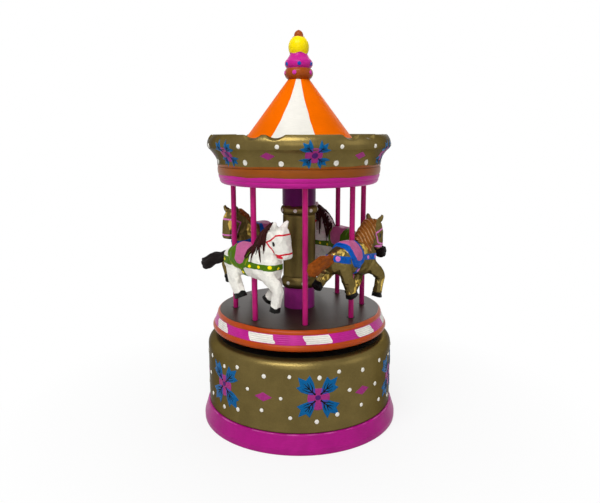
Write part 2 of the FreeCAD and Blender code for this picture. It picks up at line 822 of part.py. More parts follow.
# Expressions that several pieces of the movement share.
PLATE_BOTTOM = "(ceiling_height - plate_thickness)"
CYLINDER_END = "(cylinder_start + cylinder_length)"
GOVERNOR_Y = "(train_gap * cos(train_dip))"
GOVERNOR_Z = "(cylinder_height - train_gap * sin(train_dip))"
WORM_X = "(wheel_start + wheel_width / 2)"
WORM_Y = f"({GOVERNOR_Y} + {WHEEL_TEETH * WORM_MODULE / 2} + worm_radius + running_gap)"
COMB_TIP = "(cylinder_radius + pin_height + comb_clearance)"
COMB_TOP = "(cylinder_height + comb_thickness / 2)"
COMB_SCREW_Y = f"-{COMB_TIP} - comb_screw_line"
BRACKET_SCREW = ("bracket_left + 1.9", "bracket_wall - 2.1")

# Turns a shape drawn in the XY plane so that its normal lies along +X and its own x along +Y.
ACROSS = Rotation(Vector(1, 1, 1), 120)


def gear_wire(teeth, module, turn):
    """Outline of a spur gear with a tooth's middle at an angle in degrees; flanks are arcs of involutes."""
    pitch = teeth * module / 2
    base = pitch * math.cos(PRESSURE_ANGLE)
    tip = pitch + ADDENDUM * module
    root = pitch - DEDENDUM * module
    low = max(base, root)
    half = TOOTH_SHARE * math.pi / (2 * teeth)

    def involute(radius):
        lean = math.acos(min(1.0, base / radius))
        return math.tan(lean) - lean

    def at(radius, angle):
        return Vector(radius * math.cos(angle), radius * math.sin(angle), 0)

    def flank(radius):
        return half + involute(pitch) - involute(radius)

    middle = (low + tip) / 2
    step = 2 * math.pi / teeth
    edges = []
    for tooth in range(teeth):
        mid = math.radians(turn) + tooth * step
        rise = [at(low, mid - flank(low)), at(middle, mid - flank(middle)), at(tip, mid - flank(tip))]
        fall = [at(tip, mid + flank(tip)), at(middle, mid + flank(middle)), at(low, mid + flank(low))]
        foot = at(root, mid + flank(low))
        next_foot = at(root, mid + step - flank(low))
        edges.append(Part.LineSegment(at(root, mid - flank(low)), rise[0]))
        edges.append(Part.Arc(*rise))
        edges.append(Part.Arc(rise[2], at(tip, mid), fall[0]))
        edges.append(Part.Arc(*fall))
        edges.append(Part.LineSegment(fall[2], foot))
        edges.append(Part.Arc(foot, at(root, mid + step / 2), next_foot))
    return Part.Wire([edge.toShape() for edge in edges])


def spur_gear(teeth, module, turn, width, bore):
    """Spur gear along +X from x = 0, with a round bore."""
    gear = Part.Face(gear_wire(teeth, module, turn)).extrude(Vector(0, 0, width))
    if bore:
        gear = gear.cut(Part.makeCylinder(bore, width))
    gear.Placement = Placement(Vector(), ACROSS)
    return gear


def make_bedplate():
    """Cast plate under the drum's top, with bearing lugs, the comb's pedestal and its holes."""
    slab = box("plate_slab", ("-plate_left", "-plate_front", PLATE_BOTTOM),
               ("plate_left + plate_right", "plate_front + plate_back", "plate_thickness"))
    disc = rod("plate_disc", "plate_rim", "plate_thickness", ("0", "0", PLATE_BOTTOM))
    trimmed = doc.addObject("Part::Common", "plate_trimmed")
    trimmed.Base = slab
    trimmed.Tool = disc
    lugs = []
    lug_drop = f"{PLATE_BOTTOM} - cylinder_height + lug_half"
    for name, x, width in (("inner", "cylinder_start - 2", "2 * lug_half"),
                           ("outer", "gear_start + 2", "2 * lug_half - 0.4")):
        lugs.append(box(f"{name}_lug", (x, "-lug_half", "cylinder_height - lug_half"),
                        ("lug_thickness", width, lug_drop)))
    for name, x in (("near", "gear_start - 1.6"), ("far", "wheel_start + wheel_width + 0.9")):
        bottom = f"{GOVERNOR_Z} - 1.5"
        lugs.append(box(f"governor_{name}_lug", (x, f"{GOVERNOR_Y} - 1.43", bottom),
                        ("lug_thickness - 0.2", "2.9", f"{PLATE_BOTTOM} - ({bottom})")))
    lugs.append(box("comb_pedestal", ("cylinder_start", f"-{COMB_TIP} - comb_back", COMB_TOP),
                    ("cylinder_length", "comb_seat", f"{PLATE_BOTTOM} - {COMB_TOP}")))
    casting = joined("plate_casting", [trimmed, *lugs])
    holes = [
        rod("arbor_way", "arbor_radius + 0.7", "plate_thickness", ("0", "0", PLATE_BOTTOM)),
        rod("cylinder_bearings", "cylinder_arbor_radius + running_gap", "plate_right",
            ("cylinder_start - 5", "0", "cylinder_height"), True),
        rod("governor_bearings", "spindle_radius + running_gap", "governor_length + 4",
            ("gear_start - 3", GOVERNOR_Y, GOVERNOR_Z), True),
        rod("spindle_bearing", "spindle_radius + running_gap", "spindle_seat",
            (WORM_X, WORM_Y, PLATE_BOTTOM)),
        rod("bracket_pilot", "small_screw_radius", "2", (*BRACKET_SCREW, PLATE_BOTTOM)),
    ]
    for step in range(MOVEMENT_SCREWS):
        turn = f"(screw_turn + {360 / MOVEMENT_SCREWS * step})"
        holes.append(rod(f"screw_way_{step}", "wood_screw_radius", "plate_thickness",
                         (f"screw_ring * cos{turn}", f"screw_ring * sin{turn}", PLATE_BOTTOM)))
    for step in COMB_SCREW_SHARES:
        holes.append(rod(f"comb_pilot_{int(100 * step)}", "small_screw_radius", "4.6",
                         (f"cylinder_start + {step} * cylinder_length", COMB_SCREW_Y, COMB_TOP)))
    subpart(cut_by("bedplate_drilled", casting, holes), "movement_bedplate")
    seat = size(PLATE_BOTTOM)
    screw_group("movement_screws", ring_of("screw_ring", "screw_turn", MOVEMENT_SCREWS, seat),
                size("wood_screw_radius"))


def make_spring():
    """Spring housing hung from the bedplate on three posts, and the mainspring wound inside it."""
    cup = turned("housing_cup", [
        ("arbor_pivot + running_gap", "housing_bottom"),
        ("housing_radius", "housing_bottom"),
        ("housing_radius", "housing_top"),
        ("housing_radius - housing_wall", "housing_top"),
        ("housing_radius - housing_wall", "housing_bottom + housing_floor"),
        ("arbor_pivot + running_gap", "housing_bottom + housing_floor"),
    ])
    pieces = [cup]
    reach = "post_ring - housing_radius + housing_wall / 2"
    for step, (x, y) in enumerate((("0", "1"), ("-1", "0"), ("0", "-1"))):
        pieces.append(rod(f"post_{step}", "post_radius", f"{PLATE_BOTTOM} - housing_top + post_ear",
                          (f"{x} * post_ring", f"{y} * post_ring", "housing_top - post_ear")))
        ear = box(f"ear_{step}", ("0", "0", "0"), (reach, "post_ear", "post_ear"))
        inward = Rotation(Vector(0, 0, 1), math.degrees(math.atan2(-float(y), -float(x))))
        ear.Placement = Placement(Vector(), inward)
        sideways = inward.multVec(Vector(0, 0.5, 0))
        place(ear, f"{x} * post_ring - {sideways.x} * post_ear",
              f"{y} * post_ring - {sideways.y} * post_ear", "housing_top - post_ear")
        pieces.append(ear)
    subpart(joined("housing_joined", pieces), "spring_housing")

    pitch = size("spring_pitch")
    thickness = size("spring_thickness")
    start = size("spring_start")

    def edge(offset):
        """Half turns about two centres, so that each turn grows by the pitch."""
        arcs = []
        for turn in range(SPRING_TURNS):
            near = start + offset + turn * pitch
            far = near + pitch / 2
            arcs.append(Part.Arc(Vector(near, 0, 0), Vector(0, near, 0), Vector(-near, 0, 0)))
            back = Vector(-near, 0, 0)
            arcs.append(Part.Arc(back, Vector(pitch / 2, -far, 0), Vector(near + pitch, 0, 0)))
        return [arc.toShape() for arc in arcs]

    end = start + SPRING_TURNS * pitch
    caps = [Part.LineSegment(Vector(near, 0, 0), Vector(near + thickness, 0, 0)).toShape()
            for near in (start, end)]
    edges = [*edge(0), *edge(thickness), *caps]
    strip = Part.Face(Part.Wire(Part.__sortEdges__(edges)))
    floor = size("housing_bottom + housing_floor")
    coil = strip.extrude(Vector(0, 0, size("housing_top - 1") - floor))
    made("mainspring", coil, Placement(Vector(0, 0, floor), Rotation()))


def make_comb():
    """Steel comb: a slanted base and a row of equal-pitched tongues that end at the pins."""
    comb = doc.addObject("PartDesign::Body", "comb_blank")
    base = sketch_on(comb, "XY_Plane", "comb_base_outline")
    outline(base, [
        ("0", "comb_heel"),
        ("cylinder_length", "comb_toe"),
        ("cylinder_length", "comb_back"),
        ("0", "comb_back"),
    ])
    pad = comb.newObject("PartDesign::Pad", "comb_base")
    pad.Profile = base
    pad.setExpression("Length", cells("comb_thickness"))
    doc.recompute()
    tongue = sketch_on(comb, "XY_Plane", "tongue_outline", "(comb_thickness - tooth_thickness) / 2")
    outline(tongue, [
        ("(track_pitch - tooth_width) / 2", "0"),
        ("(track_pitch + tooth_width) / 2", "0"),
        ("(track_pitch + tooth_width) / 2", "comb_heel + 0.6"),
        ("(track_pitch - tooth_width) / 2", "comb_heel + 0.6"),
    ])
    tooth = comb.newObject("PartDesign::Pad", "comb_tongue")
    tooth.Profile = tongue
    tooth.setExpression("Length", cells("tooth_thickness"))
    doc.recompute()
    row = comb.newObject("PartDesign::LinearPattern", "comb_tongues")
    row.Originals = [tooth]
    row.Direction = (tongue, ["H_Axis"])
    row.Length = (TRACKS - 1) * size("track_pitch")
    row.Occurrences = TRACKS
    comb.Tip = row
    comb.Placement = Placement(Vector(), Rotation(Vector(1, 0, 0), 180))
    place(comb, "cylinder_start", f"-{COMB_TIP}", COMB_TOP)
    holes = []
    seats = []
    for step in COMB_SCREW_SHARES:
        spot = (f"cylinder_start + {step} * cylinder_length", COMB_SCREW_Y, f"{COMB_TOP} - comb_thickness")
        holes.append(rod(f"comb_hole_{int(100 * step)}", "small_screw_radius", "comb_thickness", spot))
        seats.append(Vector(*[size(text) for text in spot]))
    subpart(cut_by("comb_drilled", comb, holes), "sound_comb")
    screw_group("comb_screws", seats, size("small_screw_radius"))


def make_drive():
    """Crown gear on the winding arbor: a disc with straight teeth hanging from its rim."""
    face = size("crown_face")
    inner = size("crown_inner")
    outer = size("crown_outer")
    thickness = size("crown_thickness")
    disc = Part.makeCylinder(outer, thickness, Vector(0, 0, face))
    half = TOOTH_SHARE * math.pi * CROWN_MODULE / 4
    root = half + DEDENDUM * CROWN_MODULE * math.tan(PRESSURE_ANGLE)
    tip = half - ADDENDUM * CROWN_MODULE * math.tan(PRESSURE_ANGLE)
    low = face - (DEDENDUM + ADDENDUM) * CROWN_MODULE
    flanks = ((-root, face), (-tip, low), (tip, low), (root, face))
    corners = [Vector(inner, across, height) for across, height in flanks]
    tooth = Part.Face(Part.makePolygon([*corners, corners[0]])).extrude(Vector(outer - inner - 0.15, 0, 0))
    teeth = []
    for index in range(CROWN_TEETH):
        turned_tooth = tooth.copy()
        turned_tooth.rotate(Vector(), Vector(0, 0, 1), 360 * index / CROWN_TEETH)
        teeth.append(turned_tooth)
    bore = Part.makeCylinder(size("arbor_radius"), thickness, Vector(0, 0, face))
    made("crown_gear", disc.multiFuse(teeth).cut(bore).removeSplitter())


def make_cylinder():
    """Pinned cylinder on its arbor, the pinion that drives it and the gear that drives the governor."""
    height = size("cylinder_height")
    arbor = rod("cylinder_arbor", "cylinder_arbor_radius", "cylinder_arbor_length",
                ("pinion_start - 0.4", "0", "cylinder_height"), True)
    subpart(arbor, "cylinder_arbor")
    bore = size("cylinder_arbor_radius")
    half_pitch = 180 / CYLINDER_PINION_TEETH
    pinion = spur_gear(CYLINDER_PINION_TEETH, CROWN_MODULE, 90 + half_pitch, size("pinion_width"), bore)
    made("cylinder_pinion", pinion, Placement(Vector(size("pinion_start"), 0, height), ACROSS))
    gear = spur_gear(CYLINDER_GEAR_TEETH, TRAIN_MODULE, -size("train_dip"), size("gear_width"), bore)
    made("cylinder_gear", gear, Placement(Vector(size("gear_start"), 0, height), ACROSS))

    length = size("cylinder_length")
    radius = size("cylinder_radius")
    barrel = Part.makeCylinder(radius, length)
    reach = radius + size("pin_height")
    thick = size("pin_thickness")
    peg = Part.makeBox(reach - radius + thick, thick, thick, Vector(radius - thick, -thick / 2, -thick / 2))
    pegs = []
    for track in range(TRACKS):
        for beat in range(PINS_PER_TRACK):
            pin = peg.copy()
            pin.translate(Vector(0, 0, size("track_pitch") * (track + 0.5)))
            pin.rotate(Vector(), Vector(0, 0, 1), 360 * beat / PINS_PER_TRACK + TRACK_TURN * track)
            pegs.append(pin)
    cylinder = barrel.multiFuse(pegs).cut(Part.makeCylinder(bore, length))
    made("pin_cylinder", cylinder, Placement(Vector(size("cylinder_start"), 0, height), ACROSS))


def twisted_worm(pitch_radius, rise, length):
    """Worm from z = 0: its cross-section, a ridge for each start, carried up and turned at one rate.

    Rise is the climb of a thread for each radian of turn, and a ridge stands on the +X axis at z = 0.
    """
    tip = pitch_radius + ADDENDUM * WORM_MODULE
    root = pitch_radius - DEDENDUM * WORM_MODULE
    middle = (tip + root) / 2
    half = TOOTH_SHARE * math.pi * WORM_MODULE / 4

    def at(radius, angle):
        return Vector(radius * math.cos(angle), radius * math.sin(angle), 0)

    def spread(radius):
        return (half - (radius - pitch_radius) * math.tan(PRESSURE_ANGLE)) / rise

    step = 2 * math.pi / WORM_STARTS
    edges = []
    for start in range(WORM_STARTS):
        mid = start * step
        rising = [at(radius, mid - spread(radius)) for radius in (root, middle, tip)]
        falling = [at(radius, mid + spread(radius)) for radius in (tip, middle, root)]
        edges.append(Part.Arc(*rising))
        edges.append(Part.Arc(rising[2], at(tip, mid), falling[0]))
        edges.append(Part.Arc(*falling))
        edges.append(Part.Arc(falling[2], at(root, mid + step / 2), at(root, mid + step - spread(root))))
    spine = Part.Wire([Part.LineSegment(Vector(), Vector(0, 0, length)).toShape()])
    turn = Part.Wire(Part.makeHelix(2 * math.pi * rise, length, pitch_radius))
    shell = Part.BRepOffsetAPI.MakePipeShell(spine)
    shell.setAuxiliarySpine(turn, True, 0)
    shell.add(Part.Wire([edge.toShape() for edge in edges]), False, False)
    shell.build()
    shell.makeSolid()
    return shell.shape()


def make_governor():
    """Governor: pinion and worm wheel on one arbor, worm spindle with its air brake, and the bracket."""
    y = size(GOVERNOR_Y)
    z = size(GOVERNOR_Z)
    bore = size("spindle_radius")
    half_pitch = 180 / GOVERNOR_PINION_TEETH
    turn = 180 - size("train_dip") + half_pitch
    leaf = spur_gear(GOVERNOR_PINION_TEETH, TRAIN_MODULE, turn, size("gear_width"), 0)
    stem = Part.makeCylinder(bore, size("governor_length"), Vector(-2, 0, 0), Vector(1, 0, 0))
    made("governor_pinion", leaf.fuse(stem), Placement(Vector(size("gear_start"), y, z), Rotation()))

    wheel_radius = WHEEL_TEETH * WORM_MODULE / 2
    rise = WORM_STARTS * WORM_MODULE / 2
    width = size("wheel_width")
    twist = math.degrees(rise / size("worm_radius") / wheel_radius * width / 2)
    faces = []
    for side in (-1, 1):
        ring = gear_wire(WHEEL_TEETH, WORM_MODULE, 180 / WHEEL_TEETH + side * twist)
        ring.translate(Vector(0, 0, (side + 1) * width / 2))
        faces.append(ring)
    wheel = Part.makeLoft(faces, True, True).cut(Part.makeCylinder(bore, width))
    made("governor_wheel", wheel, Placement(Vector(size("wheel_start"), y, z), ACROSS))

    worm_x = size(WORM_X)
    worm_y = size(WORM_Y)
    reach = size("worm_reach")
    worm = twisted_worm(size("worm_radius"), rise, 2 * reach)
    worm.rotate(Vector(), Vector(0, 0, 1), -90 - math.degrees(reach / rise))
    worm.translate(Vector(0, 0, z - reach))
    low = size("bracket_bottom - 0.2")
    high = size(f"{PLATE_BOTTOM} + spindle_seat - 0.2")
    spindle = worm.fuse(Part.makeCylinder(bore, high - low, Vector(0, 0, low)))
    made("worm_spindle", spindle, Placement(Vector(worm_x, worm_y, 0), Rotation()))

    fan_bottom = size("fan_bottom")
    fan_height = size("fan_height")
    fan_radius = size("fan_radius")
    vane = size("fan_vane")
    sleeve = Part.makeCylinder(size("fan_sleeve"), fan_height, Vector(0, 0, fan_bottom))
    corner = Vector(-fan_radius, -vane / 2, fan_bottom + vane)
    blade = Part.makeBox(2 * fan_radius, vane, fan_height - 2 * vane, corner)
    fan = sleeve.fuse(blade).cut(Part.makeCylinder(bore, fan_height, Vector(0, 0, fan_bottom)))
    made("air_brake", fan, Placement(Vector(worm_x, worm_y, 0), Rotation()))

    wall = box("bracket_plate", ("bracket_left", "bracket_wall", "bracket_bottom"),
               ("bracket_right - bracket_left", "bracket_thickness", f"{PLATE_BOTTOM} - bracket_bottom"))
    arm = box("bracket_arm", (f"{WORM_X} - 1.8", f"{WORM_Y} - 1.6", "bracket_bottom"),
              (f"bracket_right - {WORM_X} + 1.8", f"bracket_wall - {WORM_Y} + 1.6", "bracket_thickness"))
    flange = box("bracket_flange",
                 ("bracket_left", "bracket_wall - bracket_flange", f"{PLATE_BOTTOM} - bracket_thickness"),
                 ("bracket_flange - 0.2", "bracket_flange", "bracket_thickness"))
    pivot = rod("bracket_pivot", "spindle_radius + running_gap", "bracket_thickness",
                (WORM_X, WORM_Y, "bracket_bottom"))
    way = (*BRACKET_SCREW, f"{PLATE_BOTTOM} - bracket_thickness")
    screw_hole = rod("bracket_hole", "small_screw_radius", "bracket_thickness", way)
    bracket = cut_by("bracket_drilled", joined("bracket_bent", [wall, arm, flange]), [pivot, screw_hole])
    subpart(bracket, "governor_bracket")
    screw_group("governor_screw", [Vector(*[size(text) for text in way])], size("small_screw_radius"))


make_base()
make_turntable()
make_column()
make_poles()
make_canopy()
make_horses()
make_bedplate()
make_spring()
make_comb()
make_drive()
make_cylinder()
make_governor()

doc.recompute()
for item in doc.Objects:
    if "Invalid" in item.State or "Error" in item.State:
        raise RuntimeError(f"{item.Label} did not build: {item.State}")
for item in SUBPARTS:
    if item.Shape.isNull() or not item.Shape.isValid():
        raise RuntimeError(f"{item.Label} has no valid shape")

os.makedirs("parts", exist_ok=True)
for item in SUBPARTS:
    item.Shape.exportStep(f"parts/{item.Label}.step")
print(len(SUBPARTS), "pieces written")
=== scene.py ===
"""Looks of a hand-painted wooden carousel music box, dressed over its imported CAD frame.

Lengths are millimetres until a mesh is made. Angles round the axle are degrees from the
front (-Y) towards +X.
"""

import json
import logging
from dataclasses import dataclass, field
from enum import Enum
from typing import Callable, Sequence

import bpy
import numpy as np
from mathutils import Euler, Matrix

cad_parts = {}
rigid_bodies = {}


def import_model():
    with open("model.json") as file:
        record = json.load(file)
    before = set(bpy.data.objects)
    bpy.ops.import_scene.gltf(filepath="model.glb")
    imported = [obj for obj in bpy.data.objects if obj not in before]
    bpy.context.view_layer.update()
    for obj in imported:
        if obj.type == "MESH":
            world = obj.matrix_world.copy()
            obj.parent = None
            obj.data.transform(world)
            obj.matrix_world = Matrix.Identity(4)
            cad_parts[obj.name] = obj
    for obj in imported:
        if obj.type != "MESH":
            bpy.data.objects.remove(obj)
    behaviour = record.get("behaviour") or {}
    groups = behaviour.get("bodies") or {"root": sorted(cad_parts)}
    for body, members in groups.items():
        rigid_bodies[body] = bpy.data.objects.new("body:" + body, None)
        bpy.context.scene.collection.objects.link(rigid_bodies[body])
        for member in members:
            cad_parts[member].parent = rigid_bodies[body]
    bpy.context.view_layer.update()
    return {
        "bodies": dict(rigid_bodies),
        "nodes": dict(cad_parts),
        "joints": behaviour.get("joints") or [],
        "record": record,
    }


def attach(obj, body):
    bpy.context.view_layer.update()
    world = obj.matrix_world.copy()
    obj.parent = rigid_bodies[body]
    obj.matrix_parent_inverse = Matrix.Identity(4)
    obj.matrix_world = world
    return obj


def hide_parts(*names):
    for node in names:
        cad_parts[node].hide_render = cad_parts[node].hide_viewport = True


LOG = logging.getLogger("carousel")
MM = 0.001
Array = np.ndarray
Points = Sequence[Sequence[float]]
Pair = tuple[float, float]
Triple = tuple[float, float, float]

# The poles and the deck, which several sub-assemblies share, in mm and degrees.
POLES = 8
POLE_RING = 32.8
POLE_TURN = 4.8
DECK_TOP = 57.6


class Shade(Enum):
    """Paints and bare materials of the carousel, as sRGB hex."""

    MAGENTA = "aa177f"
    POLE_PINK = "ba1a70"
    SADDLE_PINK = "c06292"
    DOT_PINK = "e07ac2"
    BRIGHT_PINK = "d63cae"
    CROSS_PINK = "a2307c"
    SHADED_PLUM = "681a5f"
    LIT_PLUM = "a83090"
    FUCHSIA = "c4208f"
    SIENNA = "a04a14"
    PURPLE = "501e6c"
    VIOLET = "4648a2"
    BRONZE = "6c5d35"
    GOLD = "c9ab58"
    DECK = "302317"
    BROWN = "8f4a14"
    RUST = "b04204"
    ORANGE = "f36c00"
    CREAM = "eeebe2"
    GROOVE_SHADE_GREY = "d0ccc2"
    # Painted highlight along the foot's upper edge.
    FOOT_EDGE_HIGHLIGHT_PINK = "c658a4"
    MAGENTA_WITH_PAINTED_LIGHT = "ba1c8a"
    LOCK_TAN_AND_HIGHLIGHT = "b8875a"
    YELLOW = "fbe204"
    BLUE = "035d96"
    CLOTH_BLUE = "0b55b2"
    GREEN = "4a6e08"
    LIME_AND_HIGHLIGHT = "7f8d14"
    RED = "d01a30"
    BLACK = "0f0e0d"
    UMBER = "361512"
    SOOT = "1a1413"
    CHESTNUT = "8a4613"
    MANE_BROWN = "8f5722"
    PLY = "c9a470"
    STEEL = "9a9a98"
    SPRING = "5d6068"
    BRASS = "c8a24a"
    ZINC = "8d9094"


def linear(shade: Shade) -> tuple[float, float, float, float]:
    """Turns an sRGB hex shade into the linear colour that Blender works in.

    Args:
        shade: the shade to turn.
    Returns:
        Red, green, blue and an opaque alpha.
    """
    parts = np.array([int(shade.value[i:i + 2], 16) for i in (0, 2, 4)]) / 255.0
    low = parts / 12.92
    high = ((parts + 0.055) / 1.055) ** 2.4
    red, green, blue = np.where(parts <= 0.04045, low, high)
    return float(red), float(green), float(blue), 1.0


def add_node(tree: bpy.types.NodeTree, kind: str, inputs: dict | None = None,
             **settings: object) -> bpy.types.Node:
    """Adds one node with its settings, constants and links.

    Args:
        tree: the node tree.
        kind: Blender's name of the node type.
        inputs: socket name or index to a constant, or to the output socket that feeds it.
        settings: properties of the node itself.
    Returns:
        The new node.
    """
    made = tree.nodes.new(kind)
    for name, value in settings.items():
        setattr(made, name, value)
    for key, value in (inputs or {}).items():
        if isinstance(value, bpy.types.NodeSocket):
            tree.links.new(value, made.inputs[key])
        else:
            made.inputs[key].default_value = value
    return made


def new_material(name: str) -> tuple[bpy.types.Material, bpy.types.NodeTree]:
    """Starts a node material.

    Args:
        name: the material's name.
    Returns:
        The material and its empty tree.
    """
    material = bpy.data.materials.new(name)
    material.use_nodes = True
    material.node_tree.nodes.clear()
    return material, material.node_tree


@dataclass(frozen=True)
class Coat:
    """One coat of paint: its shade, how it throws the light back, and where it lies.

    It lies where its mesh field, a distance in mm from its edge, is positive, or everywhere.
    """

    shade: Shade
    roughness: float = 0.42
    metallic: float = 0.0
    field: str = ""


@dataclass(frozen=True)
class BrushedPaint:
    """Brushed acrylic on turned or carved wood.

    The eye gets patches of thicker and thinner colour, the streaks of the brush, small
    unevenness under a satin film and hand-drawn edges that waver a little. Real bristle marks are
    finer than a pixel, so the streaks are drawn as coarse as they need to show.
    """

    name: str
    ground: Coat
    layers: tuple[Coat, ...] = ()
    patch_mm: float = 7.0
    patch_depth: float = 0.16
    streak_mm: Triple = (2.4, 2.4, 0.35)
    streak_lift_mm: float = 0.035
    carve_mm: float = 0.0
    carve_lift_mm: float = 0.0
    waver_mm: float = 0.08
    waver_run_mm: float = 1.6
    edge_mm: float = 0.06
    gloss: float = 0.2
    grazing: float = 1.0
    scuff: Shade | None = None
    scuff_mm: float = 1.1

    def make(self) -> bpy.types.Material:
        """Builds the material; coats cover one another by crisp steps of the mesh fields.

        Returns:
            The material.
        """
        material, tree = new_material(self.name)
        place = add_node(tree, "ShaderNodeTexCoord").outputs["Object"]
        streaks = add_node(tree, "ShaderNodeMapping", {
            "Vector": place, "Scale": tuple(1.0 / (s * MM) for s in self.streak_mm)})
        streak = add_node(tree, "ShaderNodeTexNoise", {
            "Vector": streaks.outputs[0], "Scale": 1.0, "Detail": 3.0, "Roughness": 0.6})
        patch = add_node(tree, "ShaderNodeTexNoise", {
            "Vector": place, "Scale": 1.0 / (self.patch_mm * MM), "Detail": 4.0, "Roughness": 0.55})
        waver = add_node(tree, "ShaderNodeTexNoise", {
            "Vector": place, "Scale": 1.0 / (self.waver_run_mm * MM), "Detail": 1.0})
        drift = add_node(tree, "ShaderNodeMapRange", {
            "Value": waver.outputs["Fac"], "To Min": -self.waver_mm, "To Max": self.waver_mm})
        colour, rough, metal = self.cover(tree, drift.outputs[0])
        tone = add_node(tree, "ShaderNodeMapRange", {
            "Value": patch.outputs["Fac"], "From Min": 0.3, "From Max": 0.7,
            "To Min": 1.0 - self.patch_depth, "To Max": 1.0 + self.patch_depth * 0.6})
        fine = add_node(tree, "ShaderNodeMapRange", {
            "Value": streak.outputs["Fac"], "From Min": 0.25, "From Max": 0.75,
            "To Min": 1.0 - self.patch_depth * 0.7, "To Max": 1.0 + self.patch_depth * 0.5})
        strength = add_node(tree, "ShaderNodeMath", {
            0: tone.outputs[0], 1: fine.outputs[0]}, operation="MULTIPLY")
        toned = add_node(tree, "ShaderNodeVectorMath", {
            0: colour, "Scale": strength.outputs[0]}, operation="SCALE")
        shown = toned.outputs[0]
        if self.scuff:
            nick = add_node(tree, "ShaderNodeTexNoise", {
                "Vector": place, "Scale": 1.0 / (self.scuff_mm * MM), "Detail": 5.0, "Roughness": 0.7})
            worn = add_node(tree, "ShaderNodeMapRange", {
                "Value": nick.outputs["Fac"], "From Min": 0.66, "From Max": 0.74, "To Max": 0.75})
            shown = add_node(tree, "ShaderNodeMix", {
                "Factor": worn.outputs[0], 6: shown, 7: linear(self.scuff)}, data_type="RGBA").outputs[2]
        relief = add_node(tree, "ShaderNodeBump", {
            "Height": streak.outputs["Fac"], "Distance": self.streak_lift_mm * MM, "Strength": 1.0})
        normal = relief.outputs[0]
        if self.carve_mm:
            cuts = add_node(tree, "ShaderNodeTexVoronoi", {
                "Vector": place, "Scale": 1.0 / (self.carve_mm * MM), "Smoothness": 0.25},
                feature="SMOOTH_F1")
            carved = add_node(tree, "ShaderNodeBump", {
                "Height": cuts.outputs["Distance"], "Distance": self.carve_lift_mm * MM,
                "Strength": 1.0, "Normal": normal})
            normal = carved.outputs[0]
        surface = add_node(tree, "ShaderNodeBsdfPrincipled", {
            "Base Color": shown, "Roughness": rough, "Metallic": metal, "Normal": normal,
            "Specular IOR Level": self.gloss,
            "Specular Tint": (self.grazing, self.grazing, self.grazing, 1.0)})
        add_node(tree, "ShaderNodeOutputMaterial", {"Surface": surface.outputs[0]})
        return material

    def shared(self) -> bpy.types.Material:
        """The material, made at its first use."""
        return bpy.data.materials.get(self.name) or self.make()

    def cover(self, tree: bpy.types.NodeTree, drift: bpy.types.NodeSocket) -> tuple[object, object, object]:
        """Lays the coats over one another.

        Args:
            tree: the material's tree.
            drift: wavering of the painted edges, in mm.
        Returns:
            Sockets or constants of the colour, the roughness and the metal share.
        """
        colour: object = linear(self.ground.shade) if self.layers else linear(self.ground.shade)[:3]
        shine: dict[str, object] = {name: getattr(self.ground, name) for name in ("roughness", "metallic")}
        varied = [name for name in shine if any(getattr(layer, name) != shine[name] for layer in self.layers)]
        for layer in self.layers:
            mark = add_node(tree, "ShaderNodeAttribute", attribute_name=layer.field)
            moved = add_node(tree, "ShaderNodeMath", {0: mark.outputs["Fac"], 1: drift}, operation="ADD")
            mask = add_node(tree, "ShaderNodeMapRange", {
                "Value": moved.outputs[0], "From Min": -self.edge_mm, "From Max": self.edge_mm})
            mixed = add_node(tree, "ShaderNodeMix", {
                "Factor": mask.outputs[0], 6: colour, 7: linear(layer.shade)}, data_type="RGBA")
            colour = mixed.outputs[2]
            for name in varied:
                shine[name] = add_node(tree, "ShaderNodeMix", {
                    "Factor": mask.outputs[0], 2: shine[name], 3: getattr(layer, name)}).outputs[0]
        return colour, shine["roughness"], shine["metallic"]


@dataclass(frozen=True)
class WorkedMetal:
    """Turned, stamped or cast metal of the movement: fine tool marks break up its reflections.

    Real marks are finer than a pixel, so they are drawn as coarse as they need to show.
    """

    name: str
    shade: Shade
    roughness: float = 0.32
    mark_mm: float = 0.25
    lift_mm: float = 0.006

    def make(self) -> bpy.types.Material:
        """Builds the material from a noise of tool marks in roughness and relief.

        Returns:
            The material.
        """
        material, tree = new_material(self.name)
        place = add_node(tree, "ShaderNodeTexCoord").outputs["Object"]
        marks = add_node(tree, "ShaderNodeTexNoise", {
            "Vector": place, "Scale": 1.0 / (self.mark_mm * MM), "Detail": 3.0})
        dull = add_node(tree, "ShaderNodeMapRange", {
            "Value": marks.outputs["Fac"], "To Min": self.roughness * 0.7, "To Max": self.roughness * 1.4})
        relief = add_node(tree, "ShaderNodeBump", {
            "Height": marks.outputs["Fac"], "Distance": self.lift_mm * MM, "Strength": 1.0})
        surface = add_node(tree, "ShaderNodeBsdfPrincipled", {
            "Base Color": linear(self.shade), "Metallic": 1.0, "Roughness": dull.outputs[0],
            "Normal": relief.outputs[0]})
        add_node(tree, "ShaderNodeOutputMaterial", {"Surface": surface.outputs[0]})
        return material


